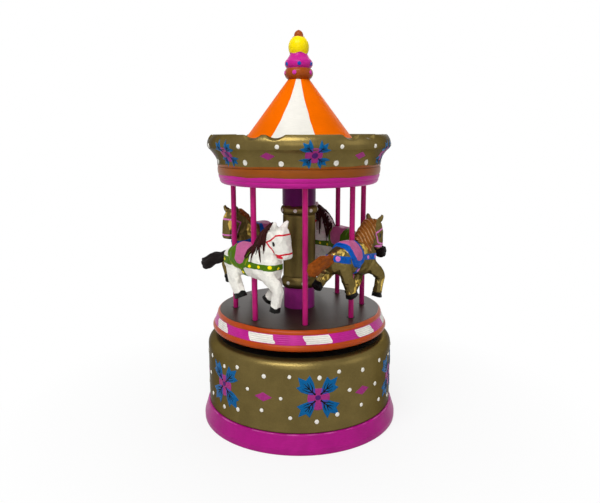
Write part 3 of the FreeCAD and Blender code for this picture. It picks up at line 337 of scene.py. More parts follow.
@dataclass(frozen=True)
class SawnPly:
    """Bare sawn plywood: long pale and dark grain lines with open pores."""

    name: str
    shade: Shade = Shade.PLY
    grain_mm: Triple = (14.0, 0.9, 0.9)
    pore_mm: float = 0.05
    roughness: float = 0.75

    def make(self) -> bpy.types.Material:
        """Builds the material from a noise stretched along the grain.

        Returns:
            The material.
        """
        material, tree = new_material(self.name)
        place = add_node(tree, "ShaderNodeTexCoord").outputs["Object"]
        along = add_node(tree, "ShaderNodeMapping", {
            "Vector": place, "Scale": tuple(1.0 / (s * MM) for s in self.grain_mm)})
        grain = add_node(tree, "ShaderNodeTexNoise", {
            "Vector": along.outputs[0], "Scale": 1.0, "Detail": 4.0})
        tone = add_node(tree, "ShaderNodeMapRange", {
            "Value": grain.outputs["Fac"], "To Min": 0.6, "To Max": 1.2})
        wood = add_node(tree, "ShaderNodeVectorMath", {
            0: linear(self.shade)[:3], "Scale": tone.outputs[0]}, operation="SCALE")
        relief = add_node(tree, "ShaderNodeBump", {
            "Height": grain.outputs["Fac"], "Distance": self.pore_mm * MM, "Strength": 1.0})
        surface = add_node(tree, "ShaderNodeBsdfPrincipled", {
            "Base Color": wood.outputs[0], "Roughness": self.roughness, "Normal": relief.outputs[0]})
        add_node(tree, "ShaderNodeOutputMaterial", {"Surface": surface.outputs[0]})
        return material


def new_piece(name: str, points: Array, faces: list, material: bpy.types.Material,
              fields: dict[str, Array] | None = None) -> bpy.types.Object:
    """Puts a surface into a smooth-shaded mesh object at the origin.

    Args:
        name: the piece's name.
        points: vertices in mm, one row each.
        faces: index lists.
        material: the finish.
        fields: values per vertex that the finish reads.
    Returns:
        The new object.
    """
    mesh = bpy.data.meshes.new(name)
    mesh.from_pydata((points * MM).tolist(), [], faces)
    for label, values in (fields or {}).items():
        layer = mesh.attributes.new(label, "FLOAT", "POINT")
        layer.data.foreach_set("value", values.astype(np.float32))
    mesh.shade_smooth()
    mesh.materials.append(material)
    made = bpy.data.objects.new(name, mesh)
    bpy.context.scene.collection.objects.link(made)
    return made


def settle(piece: bpy.types.Object, body: str, slot: str, *nodes: str) -> bpy.types.Object:
    """Hands a finished piece to its CAD body and logs it.

    Args:
        piece: the piece, in place.
        body: the CAD body it moves with.
        slot: the record's material slot; not used.
        nodes: CAD nodes that it stands for.
    Returns:
        The same piece.
    """
    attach(piece, body)
    if nodes:
        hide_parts(*nodes)
    LOG.info("%s: %d faces on %s", piece.name, len(piece.data.polygons), body)
    return piece


def unit(rows: Array) -> Array:
    """Directions of the last axis's vectors."""
    return rows / np.linalg.norm(rows, axis=-1, keepdims=True)


def quads(rows: int, columns: int, loop_rows: bool = False, start: int = 0) -> Array:
    """Quads of a grid whose columns close, facing out where rows climb and columns turn left.

    Args:
        rows: grid rows.
        columns: grid columns.
        loop_rows: whether the last row joins the first.
        start: index of the first vertex.
    Returns:
        One row of four indices per face.
    """
    row = np.arange(rows if loop_rows else rows - 1)[:, None]
    column = np.arange(columns)[None, :]
    above = (row + 1) % rows
    beside = (column + 1) % columns
    corners = [row * columns + column, row * columns + beside,
               above * columns + beside, above * columns + column]
    return np.stack(corners, -1).reshape(-1, 4) + start


def fan(first: int, columns: int, tip: int, upward: bool) -> Array:
    """Triangles from a closed ring to a tip.

    Args:
        first: index of the ring's first vertex.
        columns: vertices in the ring.
        tip: index of the tip.
        upward: whether the tip lies beyond the last row, not before the first.
    Returns:
        One row of three indices per face.
    """
    near = np.arange(columns)
    far = (near + 1) % columns
    ends = (near, far) if upward else (far, near)
    return np.stack([ends[0] + first, ends[1] + first, np.full(columns, tip)], -1)


def capped(rows: int, columns: int, start: int = 0) -> list:
    """Faces of a tube whose two tips, before the first row and beyond the last, follow its grid.

    Args:
        rows: grid rows.
        columns: grid columns.
        start: index of the first vertex.
    Returns:
        Index lists.
    """
    tip = start + rows * columns
    ends = [fan(start, columns, tip, False), fan(tip - columns, columns, tip + 1, True)]
    return sum((end.tolist() for end in ends), quads(rows, columns, start=start).tolist())


def arc(start: Array, end: Array, radius: float, step: float) -> Array:
    """Points on a circle from start to end, bulging right of the way if the radius is positive.

    Args:
        start: first point, left out.
        end: last point, kept.
        radius: signed radius, or 0 for a straight line.
        step: distance between points.
    Returns:
        The points after start.
    """
    chord = end - start
    half = np.hypot(*chord) / 2
    share = np.linspace(0, 1, max(int(2 * half / step), 1) + 1)[1:, None]
    if radius == 0:
        return start + chord * share
    right = np.array([chord[1], -chord[0]]) / (2 * half)
    rise = np.sqrt(max(radius ** 2 - half ** 2, 0.0))
    centre = (start + end) / 2 - right * rise * np.sign(radius)
    first = np.arctan2(*(start - centre)[::-1])
    sweep = (np.arctan2(*(end - centre)[::-1]) - first + np.pi) % (2 * np.pi) - np.pi
    angle = first + sweep * share
    return centre + abs(radius) * np.hstack([np.cos(angle), np.sin(angle)])


@dataclass(frozen=True)
class Turning:
    """Half outline of a turned piece, its outside going up: corners (radius, height, arc to reach it).

    A ring closes on itself, and anything else ends on the axle. The corners are softened over some mm,
    and the points lie closer where the spacing in mm or the bend in degrees is small.
    """

    corners: tuple[tuple[float, ...], ...]
    ring: bool = False
    soften: float = 0.18
    spacing: float = 1.1
    bend: float = 9.0
    fine: float = 0.05

    def outline(self) -> Array:
        """Samples the outline, rounds its corners and thins it where it is straight.

        The corners are rounded by a Gaussian along the outline, and the points are then taken at
        even steps of (length / spacing + turning / bend).

        Returns:
            Rows of radius and height.
        """
        knots = [np.array(c[:2], float) for c in self.corners]
        bulge = [c[2] if len(c) > 2 else 0.0 for c in self.corners]
        legs = [knots[0][None, :]]
        legs += [arc(a, b, r, self.fine) for a, b, r in zip(knots, knots[1:], bulge[1:])]
        if self.ring:
            legs.append(arc(knots[-1], knots[0], 0.0, self.fine)[:-1])
        line = np.vstack(legs)
        reach = int(4 * self.soften / self.fine)
        bell = np.exp(-0.5 * (np.arange(-reach, reach + 1) * self.fine / self.soften) ** 2)
        bell /= bell.sum()
        if self.ring:
            padded = np.vstack([line[-reach:], line, line[:reach]])
        else:
            mirror = np.array([-1.0, 1.0])
            padded = np.vstack([line[reach:0:-1] * mirror, line, line[-2:-reach - 2:-1] * mirror])
        soft = np.stack([np.convolve(padded[:, k], bell, "valid") for k in (0, 1)], -1)
        if self.ring:
            soft = np.vstack([soft, soft[:1]])
        else:
            soft[[0, -1], 0] = 0.0
        leg = np.diff(soft, axis=0)
        length = np.hypot(leg[:, 0], leg[:, 1])
        heading = np.unwrap(np.arctan2(leg[:, 1], leg[:, 0]))
        turning = np.degrees(np.abs(np.diff(heading, append=heading[-1])))
        measure = np.concatenate([[0.0], np.cumsum(length / self.spacing + turning / self.bend)])
        wanted = np.linspace(0, measure[-1], int(np.ceil(measure[-1])) + 1)
        points = np.stack([np.interp(wanted, measure, soft[:, k]) for k in (0, 1)], -1)
        return points[:-1] if self.ring else points

    def radius_at(self, height: Array) -> tuple[Array, Array, Array]:
        """Outside radius at a height, with the outward normal there.

        Args:
            height: heights in mm.
        Returns:
            Radius, and the normal's share outward and upward.
        """
        line = self.outline()
        top = int(np.argmax(line[:, 1])) + 1
        low = int(np.argmin(line[:top, 1]))
        side = line[low:top]
        keep = np.concatenate([[True], np.diff(np.maximum.accumulate(side[:, 1])) > 1e-6])
        side = side[keep]
        radius = np.interp(height, side[:, 1], side[:, 0])
        step = 0.1
        slope = (np.interp(height + step, side[:, 1], side[:, 0])
                 - np.interp(height - step, side[:, 1], side[:, 0])) / (2 * step)
        size = np.sqrt(1 + slope ** 2)
        return radius, 1 / size, -slope / size

    def surface(self, columns: int) -> tuple[Array, Array, list]:
        """Carries the outline round the axle: (radius sin a, -radius cos a, height).

        Args:
            columns: steps round the axle.
        Returns:
            Vertices, the angle of each in degrees, and the faces.
        """
        line = self.outline()
        inner = line if self.ring else line[1:-1]
        angle = np.arange(columns) * 2 * np.pi / columns
        radius, height = inner[:, :1], inner[:, 1:]
        points = np.stack([radius * np.sin(angle), -radius * np.cos(angle),
                           height + 0 * angle], -1).reshape(-1, 3)
        turn = np.tile(np.degrees(angle), len(inner))
        if self.ring:
            return points, turn, quads(len(inner), columns, True).tolist()
        tips = np.array([[0, 0, line[0, 1]], [0, 0, line[-1, 1]]])
        return np.vstack([points, tips]), np.concatenate([turn, [0.0, 0.0]]), capped(len(inner), columns)


def wave(angle: Array, amount: float, seed: int, count: int = 5, most: int = 17) -> Array:
    """Wavering of a hand-painted line: a sum of seeded sines round the axle.

    Args:
        angle: degrees.
        amount: usual swing, in mm or degrees.
        seed: seed of the phases.
        count: number of sines.
        most: one more than the most waves in a turn.
    Returns:
        The swing at each angle.
    """
    chance = np.random.default_rng(seed)
    beats = chance.integers(2, most, count)
    phase = chance.uniform(0, 2 * np.pi, count)
    turns = np.radians(angle)[..., None]
    return amount / count * 1.6 * np.sin(turns * beats + phase).sum(-1)


def gap(place: Array, centre: float, period: float) -> Array:
    """Signed distance from the nearest of a row of centres, one each period."""
    return (place - centre + period / 2) % period - period / 2


@dataclass
class DabPile:
    """Dabs and strokes of one paint, gathered into one mesh that lies on a turned surface."""

    turning: Turning
    lift: float
    patch_mm: float = 0.0
    sink: float = 0.25
    vertices: list = field(default_factory=list)
    faces: list = field(default_factory=list)
    reaches: list = field(default_factory=list)
    count: int = 0

    def lay(self, across: Array, upward: Array, height: Array, angle: float, level: float) -> Array:
        """Wraps flat coordinates round the turned surface.

        Args:
            across: mm round the surface from the dab's middle.
            upward: mm up from the dab's middle.
            height: mm off the surface.
            angle: the middle's angle in degrees.
            level: the middle's height.
        Returns:
            Vertices in mm.
        """
        self.reaches.append(np.hypot(across, upward))
        middle = self.turning.radius_at(np.array([level]))[0][0]
        radius, out, up = self.turning.radius_at(level + upward)
        turn = np.radians(angle) + across / middle
        radius = radius + out * height
        lifted = level + upward + up * height
        return np.stack([radius * np.sin(turn), -radius * np.cos(turn), lifted], -1)

    def blob(self, outline: Array, angle: float, level: float) -> None:
        """Adds a closed lens: rings of the outline shrunk to its middle, domed above and sunk below.

        Args:
            outline: corners (across, up) in mm from the middle, counter-clockwise.
            angle: the middle's angle in degrees.
            level: the middle's height.
        """
        middle = outline.mean(0)
        share = np.array([1.0, 1.0, 0.9, 0.55])[:, None, None]
        height = np.array([-self.sink, 0.25 * self.lift, 0.8 * self.lift, self.lift])
        rings = middle + (outline - middle) * share
        columns = len(outline)
        flat = np.vstack([rings.reshape(-1, 2), middle, middle])
        lifts = np.concatenate([np.repeat(height, columns), [-self.sink, self.lift]])
        self.vertices.append(self.lay(flat[:, 0], flat[:, 1], lifts, angle, level))
        self.faces += capped(len(share), columns, self.count)
        self.count += len(flat)

    def row(self, outline: Array, first: float, pitch: float, count: int, level: float) -> None:
        """Adds a count of equal blobs at one height, from the first angle on, a pitch in degrees apart."""
        for step in range(count):
            self.blob(outline, first + pitch * step, level)

    def stroke(self, path: Array, width: Array, angle: float, level: float) -> None:
        """Adds a thin closed stroke: a flat four-sided section carried along a path.

        Args:
            path: points (across, up) in mm.
            width: half width at each point.
            angle: the pattern middle's angle in degrees.
            level: the pattern middle's height.
        """
        way = unit(np.gradient(path, axis=0))
        side = np.stack([way[:, 1], -way[:, 0]], -1) * width[:, None]
        flat = np.stack([path - side, path, path + side, path], 1).reshape(-1, 2)
        lifts = np.tile([0.05, -self.sink, 0.05, self.lift + 0.05], len(path))
        self.vertices.append(self.lay(flat[:, 0], flat[:, 1], lifts, angle, level))
        base = self.count
        self.faces += quads(len(path), 4, start=base).tolist()
        self.faces.append([base + 3, base + 2, base + 1, base])
        last = base + 4 * (len(path) - 1)
        self.faces.append([last, last + 1, last + 2, last + 3])
        self.count += len(flat)

    def piece(self, name: str, material: bpy.types.Material) -> bpy.types.Object:
        """Makes the gathered dabs one piece, with how far each point lies inside its pattern's patch."""
        overlap = self.patch_mm - np.concatenate(self.reaches)
        return new_piece(name, np.vstack(self.vertices), self.faces, material, {"overlap": overlap})


def ring_points(width: float, height: float, count: int = 12, squareness: float = 2.0) -> Array:
    """A superellipse outline: |cos| ^ (2 / n) of the half width and |sin| ^ (2 / n) of the half height.

    Args:
        width: half width.
        height: half height.
        count: points round it.
        squareness: the power n, 2 for an ellipse and more for a squarer shape.
    Returns:
        Rows (across, up), counter-clockwise.
    """
    angle = np.arange(count) * 2 * np.pi / count
    grow = 2.0 / squareness
    return np.stack([width * np.sign(np.cos(angle)) * np.abs(np.cos(angle)) ** grow,
                     height * np.sign(np.sin(angle)) * np.abs(np.sin(angle)) ** grow], -1)


def divide(corners: Points, parts: int) -> Array:
    """Splits each side of a closed polygon into equal parts.

    Args:
        corners: the polygon's corners.
        parts: parts to each side.
    Returns:
        The corners with the new points between them.
    """
    knots = np.array(corners, float)
    share = np.arange(parts) / parts
    sides = np.roll(knots, -1, 0) - knots
    return (knots[:, None, :] + sides[:, None, :] * share[None, :, None]).reshape(-1, 2)


def diamond(half: Pair, tilt: float) -> Array:
    """Outline of a painted diamond, its ends raised and lowered by a slope."""
    wide, tall = half
    return divide([(wide, wide * tilt), (0, tall), (-wide, -wide * tilt), (0, -tall)], 4)


# A petal is drawn with this foot and this half width, as shares of its length, and stretched to others.
PETAL_FOOT = 0.12
PETAL_FLARE = 0.33


@dataclass(frozen=True)
class FolkFlower:
    """A painted flower: a round pink patch, four three-pointed petals over it and a purple centre."""

    petal_mm: float
    patch: tuple[float, float, float, float] = (5.6, 4.5, 4.9, 6.2)
    centre: Triple = (0.0, 0.0, 1.3)
    base: float = PETAL_FOOT
    flare: float = PETAL_FLARE
    spread: float = 46.0
    low_share: float = 1.0
    side_point: float = 0.77
    notch: Pair = (0.735, 0.13)

    def petal(self) -> Array:
        """Draws a petal along its axis: narrow foot, swelling sides, three points and two notches.

        Returns:
            Its corners, as shares of its length.
        """
        low = np.array([(0.29, 0.13), (0.53, 0.25), (self.side_point, PETAL_FLARE), self.notch])
        low[:, 0] = self.base + (low[:, 0] - PETAL_FOOT) * (1 - self.base) / (1 - PETAL_FOOT)
        low[:, 1] *= self.flare / PETAL_FLARE
        return np.vstack([[(self.base, 0.0)], low * [1, -1], [(1.0, 0.0)], low[::-1]])

    def paint(self, piles: dict[Shade, DabPile], angle: float, level: float, seed: int) -> None:
        """Lays one flower.

        Args:
            piles: the dab pile of each paint.
            angle: the flower's angle in degrees.
            level: its height.
            seed: seed of its small differences.
        """
        chance = np.random.default_rng(seed)
        right, top, left, low = self.patch
        round_patch = ring_points(1.0, 1.0, 28, 2.1)
        round_patch *= np.where(round_patch > 0, [right, top], [left, low])
        piles[Shade.CROSS_PINK].blob(round_patch, angle, level)
        for axis in (self.spread, 180 - self.spread, 180 + self.spread, -self.spread):
            turn = np.radians(axis) + chance.normal(0, 0.035)
            size = self.petal_mm * chance.normal(1, 0.025)
            spin = np.array([[np.cos(turn), np.sin(turn)], [-np.sin(turn), np.cos(turn)]])
            if np.sin(turn) < 0:
                spin = spin * [1.0, self.low_share]
            shape = self.petal() * size
            shape[1:] += chance.normal(0, 0.016 * size, shape[1:].shape)
            piles[Shade.BLUE].blob(divide(shape @ spin, 2), angle, level)
            self.veins(piles[Shade.BLACK], spin, size, angle, level, chance)
        across, up, size = self.centre
        piles[Shade.PURPLE].blob(ring_points(size, size * 0.95, 16) + [across, up], angle, level)

    def veins(self, pile: DabPile, spin: Array, size: float, angle: float, level: float,
              chance: np.random.Generator) -> None:
        """Draws a petal's black rib and its paired side ribs.

        Args:
            pile: the black dab pile.
            spin: turn of the petal in its plane.
            size: length of the petal.
            angle: the flower's angle in degrees.
            level: its height.
            chance: source of the small differences.
        """
        foot = self.base + 0.02
        rib = np.stack([np.linspace(foot, 0.70, 5), chance.normal(0, 0.008, 5)], -1) * size
        pile.stroke(rib @ spin, np.array([0.036, 0.038, 0.034, 0.026, 0.012]) * size, angle, level)
        for start, run, aside in ((0.15, 0.30, 0.17), (0.34, 0.20, 0.10)):
            for side in (-1, 1):
                begin = foot + start * (1 - foot)
                end = np.array([begin + run * chance.normal(1, 0.1), side * aside * self.flare / PETAL_FLARE])
                middle = np.array([begin + run * 0.45, side * aside * 0.62])
                twig = np.array([[begin, 0.0], middle, end]) * size
                pile.stroke(twig @ spin, np.array([0.030, 0.027, 0.012]) * size, angle, level)


def soft_min(a: Array, b: Array, blend: float) -> Array:
    """The smaller of two heights, with a rounded corner where they cross.

    Args:
        a: first heights.
        b: second heights.
        blend: size of the rounding in mm.
    Returns:
        -blend log(exp(-a / blend) + exp(-b / blend)).
    """
    low = np.minimum(a, b)
    near = np.minimum(b, a + 9)
    return low - blend * np.log(np.exp(-(a - low) / blend) + np.exp(-(near - low) / blend))


# Finishes of the painted wood. Each comment says what the paint gives the eye.

# Satin acrylic brushed on the turned foot: an even magenta, with a paler pink line along its upper edge that
# is a painted highlight.
FOOT_PAINT = BrushedPaint(
    "magenta_acrylic_brushed_on_turned_wood", Coat(Shade.MAGENTA, 0.34),
    (Coat(Shade.FOOT_EDGE_HIGHLIGHT_PINK, 0.34, field="highlit_top_edge"),), patch_depth=0.12, gloss=0.1)

# Bronze powder in a brushed film: a dark gold sheen with a grainy highlight, and a dull black top that is
# partly black paint and partly painted shade under the platform. The powder's grain is finer than a pixel,
# so it is drawn at 0.8 mm.
DRUM_PAINT = BrushedPaint(
    "bronze_powder_paint_brushed_on_turned_wood", Coat(Shade.BRONZE, 0.32, 0.85),
    (Coat(Shade.BLACK, 0.7, field="black_and_shaded_top"),), patch_mm=9.0, patch_depth=0.14,
    streak_mm=(0.8, 0.8, 0.6), streak_lift_mm=0.07, grazing=0.3)

# Satin acrylic over turned beads: rust edges that thin to brown at one place, a pink band in a lighter copy
# # of the magenta that is partly painted light, cream blocks with grey lines in their grooves as painted
# shade,
# # and a dark deck with black rings round the poles.
PLATFORM_PAINT = BrushedPaint(
    "rust_and_magenta_acrylic_on_a_reeded_rim", Coat(Shade.RUST, 0.3), (
        Coat(Shade.BROWN, 0.3, field="thin_rust"), Coat(Shade.MAGENTA_WITH_PAINTED_LIGHT, 0.3, field="band"),
        Coat(Shade.CREAM, 0.36, field="block"), Coat(Shade.GROOVE_SHADE_GREY, 0.4, field="groove"),
        Coat(Shade.DECK, 0.4, 0.1, field="deck"), Coat(Shade.BLACK, 0.5, field="pole_ring")),
    patch_depth=0.14, gloss=0.16)

# Plum acrylic at the ends, bronze powder between: soft purple against a grainy gold sheen. The upper plum is
# # darker as painted shade under the canopy, and the lower collar is a lighter copy as painted light.
COLUMN_PAINT = BrushedPaint(
    "plum_acrylic_and_bronze_powder_paint_on_a_turned_column", Coat(Shade.SHADED_PLUM, 0.36), (
        Coat(Shade.LIT_PLUM, 0.36, field="lit_low_collar"), Coat(Shade.BRONZE, 0.4, 0.85, field="shaft")),
    patch_mm=5.0, patch_depth=0.16, streak_mm=(0.7, 0.7, 0.6), streak_lift_mm=0.1, gloss=0.12, grazing=0.3)

# Acrylic drawn along a dowel: a clear pink with long streaks up and down.
POLE_PAINT = BrushedPaint(
    "pink_acrylic_brushed_on_a_birch_dowel", Coat(Shade.POLE_PINK, 0.34), patch_mm=4.0,
    streak_mm=(0.5, 0.5, 5.0), gloss=0.12)

# Smooth acrylic on turned beads: magenta below, in a lighter copy that is partly painted light, and brown
# above,
# # with soft light along each bead.
CANOPY_PAINT = BrushedPaint(
    "magenta_and_brown_acrylic_on_turned_beads", Coat(Shade.MAGENTA_WITH_PAINTED_LIGHT, 0.34),
    (Coat(Shade.BROWN, 0.34, field="brown_beads"),), patch_depth=0.08, streak_lift_mm=0.015, gloss=0.12)

# Bronze powder brushed up the flare: a gold sheen with upright brush marks, over a matt brown foot.
RIM_PAINT = BrushedPaint(
    "bronze_powder_paint_on_a_scalloped_rim", Coat(Shade.BRONZE, 0.27, 0.85),
    (Coat(Shade.BROWN, 0.34, field="brown_foot"),), patch_mm=8.0, patch_depth=0.14,
    streak_mm=(0.7, 0.7, 2.4), streak_lift_mm=0.08, grazing=0.3)

# Flat acrylic on a cone: even orange and cream with hardly any shine.
ROOF_PAINT = BrushedPaint(
    "orange_and_cream_acrylic_on_a_turned_cone", Coat(Shade.ORANGE, 0.34),
    (Coat(Shade.CREAM, 0.36, field="cream_stripe"),), patch_mm=10.0, patch_depth=0.06, waver_mm=0.04,
    gloss=0.01)

# Smooth acrylic on a small knob: clean brown, magenta and yellow with small highlights.
FINIAL_PAINT = BrushedPaint(
    "brown_magenta_and_yellow_acrylic_on_a_turned_knob", Coat(Shade.SIENNA, 0.24), (
        Coat(Shade.FUCHSIA, 0.24, field="bead"), Coat(Shade.YELLOW, 0.24, field="drop"),
        Coat(Shade.SIENNA, 0.24, field="tip")),
    patch_mm=4.0, patch_depth=0.06, streak_mm=(1.6, 1.6, 1.6), streak_lift_mm=0.012, waver_mm=0.03, gloss=0.1)

# Cream acrylic on knife-cut wood: soft facets with dark chips, and a harness in flat colours, with a lighter
# line
# # on the cloth's edge that is partly lime piping and partly painted highlight.
WHITE_HORSE_PAINT = BrushedPaint(
    "cream_acrylic_on_a_carved_horse", Coat(Shade.CREAM), (
        Coat(Shade.GREEN, field="cloth"), Coat(Shade.LIME_AND_HIGHLIGHT, field="piping_and_highlight"),
        Coat(Shade.SADDLE_PINK, field="seat"), Coat(Shade.YELLOW, field="dots"),
        Coat(Shade.RED, field="bridle"), Coat(Shade.BLACK, field="eye"),
        Coat(Shade.BLACK, field="hoof")),
    patch_mm=4.0, patch_depth=0.12, streak_mm=(0.9, 0.9, 0.9), carve_mm=3.4, carve_lift_mm=0.4, gloss=0.1,
    scuff=Shade.UMBER, scuff_mm=1.3)

# Bronze powder on knife-cut wood: a dark sheen with bright gold patches on the edges that are partly rubbed
# gold
# # and partly painted highlight, and a harness in flat colours.
GOLD_HORSE_PAINT = BrushedPaint(
    "bronze_powder_paint_on_a_carved_horse", Coat(Shade.BRONZE, 0.38, 0.8), (
        Coat(Shade.GOLD, 0.28, 0.9, field="rub_and_sheen"), Coat(Shade.MANE_BROWN, 0.44, field="mane"),
        Coat(Shade.LOCK_TAN_AND_HIGHLIGHT, 0.44, field="lock"), Coat(Shade.CLOTH_BLUE, field="cloth"),
        Coat(Shade.SADDLE_PINK, field="seat"), Coat(Shade.DOT_PINK, field="dots"),
        Coat(Shade.DOT_PINK, field="bridle"), Coat(Shade.BLACK, field="eye"),
        Coat(Shade.BLACK, field="hoof")),
    patch_mm=4.0, patch_depth=0.16, streak_mm=(0.9, 0.9, 0.9), carve_mm=3.4, carve_lift_mm=0.4, waver_mm=0.2,
    gloss=0.1, grazing=0.3, scuff=Shade.BLACK, scuff_mm=1.6)


def ornament_paint(shade: Shade) -> BrushedPaint:
    """Thick acrylic dabbed by hand: raised spots of flat colour, violet where the blue covers pink."""
    over = (Coat(Shade.VIOLET, field="overlap"),) if shade is Shade.BLUE else ()
    return BrushedPaint(f"{shade.name.lower()}_acrylic_dabbed_by_hand", Coat(shade, 0.42), over, patch_mm=2.2,
                        patch_depth=0.1, gloss=0.08, streak_mm=(0.8, 0.8, 0.5), streak_lift_mm=0.02)


def hair_paint(shade: Shade) -> BrushedPaint:
    """Acrylic on carved hair: dull, with darker and paler streaks along the locks."""
    return BrushedPaint(f"{shade.name.lower()}_acrylic_on_carved_hair", Coat(shade, 0.5), patch_mm=2.0,
                        patch_depth=0.3, gloss=0.06, streak_mm=(1.6, 0.5, 0.5))


# What each paint of the folk ornament draws.
ORNAMENT = {
    Shade.CROSS_PINK: "pink_patches", Shade.BLUE: "petals", Shade.BLACK: "veins",
    Shade.PURPLE: "flower_centres", Shade.CREAM: "dots"}


def paint_pots(turning: Turning, lifts: Sequence[float], patch_mm: float) -> dict[Shade, DabPile]:
    """An empty dab pile for each paint, with its lift and the reach of a flower's pink patch in mm."""
    return {shade: DabPile(turning, lift, patch_mm) for shade, lift in zip(ORNAMENT, lifts)}


def settle_ornament(piles: dict[Shade, DabPile], place: str, body: str) -> None:
    """Makes each paint's dabs one piece, named for its place and what it draws."""
    for shade, pile in piles.items():
        settle(pile.piece(f"{place}_{ORNAMENT[shade]}", ornament_paint(shade).shared()), body, "gold_paint")


@dataclass
class Base:
    """Fixed lower half: magenta foot and bronze drum with its painted flowers."""

    foot: Turning = Turning((
        (39.0, 13.0), (39.0, 4.4), (44.4, 4.4), (44.4, 0.0), (49.2, 0.0), (50.0, 0.8, 0.8), (50.0, 3.0),
        (48.2, 8.8), (47.4, 9.6, 0.8), (43.4, 9.6), (43.4, 13.0)), ring=True)
    drum: Turning = Turning((
        (43.5, 9.6), (46.8, 9.6), (47.2, 10.0), (47.2, 40.0), (42.7, 44.5, 4.5), (4.5, 44.5), (4.5, 39.0),
        (43.5, 39.0)), ring=True)
    columns: int = 192
    highlight_radius: float = 47.7
    highlight_level: float = 9.35
    highlight_half: float = 0.16
    black_radius: float = 41.9
    black_level: float = 44.0
    flower: FolkFlower = FolkFlower(13.4)
    flower_angle: float = 10.3
    flower_level: float = 27.1
    flowers: int = 6
    first_rise: float = 0.2
    lifts: tuple[float, ...] = (0.06, 0.13, 0.2, 0.22, 0.3)
    patch_mm: float = 5.0
    dots: tuple[Pair, ...] = (
        (0.3, 9.8), (12.0, 11.6), (18.6, 1.6), (11.6, -9.4), (-0.6, -11.8), (-15.6, -9.4), (-20.6, 0.0),
        (-16.2, 10.4))
    diamond_angle: float = -20.4
    diamond_drop: float = 0.4
    diamond_dots: tuple[Pair, ...] = ((0.4, 9.4), (-1.2, -7.2))
    diamond_half: Pair = (4.4, 2.25)
    dot_mm: float = 1.0

    def build(self) -> None:
        """Makes the foot, the drum and the painted ornament round it."""
        points, turn, faces = self.foot.surface(self.columns)
        # The paler line round the foot's upper edge is a painted highlight, lying where the light catches the
        # edge.
        outward = np.hypot(points[:, 0], points[:, 1]) - self.highlight_radius
        worn = self.highlight_half - np.hypot(outward, points[:, 2] - self.highlight_level) + wave(turn, 0.2, 2, 7, 40)
        foot = new_piece("painted_foot", points, faces, FOOT_PAINT.make(), {"highlit_top_edge": worn})
        settle(foot, "base", "magenta_paint", "base_foot")
        points, _, faces = self.drum.surface(self.columns)
        # The top inside this radius is black paint, drawn black all over as painted shade where the platform
        # hides it.
        inward = self.black_radius - np.hypot(points[:, 0], points[:, 1])
        black_and_shaded_top = np.minimum(points[:, 2] - self.black_level, inward)
        drum = new_piece("painted_drum", points, faces, DRUM_PAINT.make(), {"black_and_shaded_top": black_and_shaded_top})
        settle(drum, "base", "gold_paint", "base_drum")
        self.decorate()

    def decorate(self) -> None:
        """Paints six flowers with diamonds between them and dots all round."""
        piles = paint_pots(self.drum, self.lifts, self.patch_mm)
        chance = np.random.default_rng(11)
        for step in range(self.flowers):
            centre = self.flower_angle + 360.0 / self.flowers * step
            sway = chance.normal(0, 0.8) if step else 0.0
            rise = chance.normal(0, 0.3) if step else self.first_rise
            self.flower.paint(piles, centre + sway, self.flower_level + rise, 40 + step)
            for away, up in self.dots:
                self.dot(piles[Shade.CREAM], centre + away, self.flower_level + up, chance)
            middle = self.diamond_angle + 360.0 / self.flowers * step + chance.normal(0, 0.5)
            shape = diamond(self.diamond_half, chance.normal(0, 0.06))
            piles[Shade.CROSS_PINK].blob(shape, middle, self.flower_level - self.diamond_drop)
            for away, up in self.diamond_dots:
                self.dot(piles[Shade.CREAM], middle + away, self.flower_level + up, chance)
        settle_ornament(piles, "drum", "base")

    def dot(self, pile: DabPile, angle: float, level: float, chance: np.random.Generator) -> None:
        """Dabs one round dot with small differences of size and place.

        Args:
            pile: the cream dab pile.
            angle: the dot's angle in degrees.
            level: its height.
            chance: source of the small differences.
        """
        size = self.dot_mm * chance.normal(1, 0.08)
        shape = ring_points(size, size * chance.normal(1.05, 0.08))
        pile.blob(shape, angle + chance.normal(0, 0.4), level + chance.normal(0, 0.25))


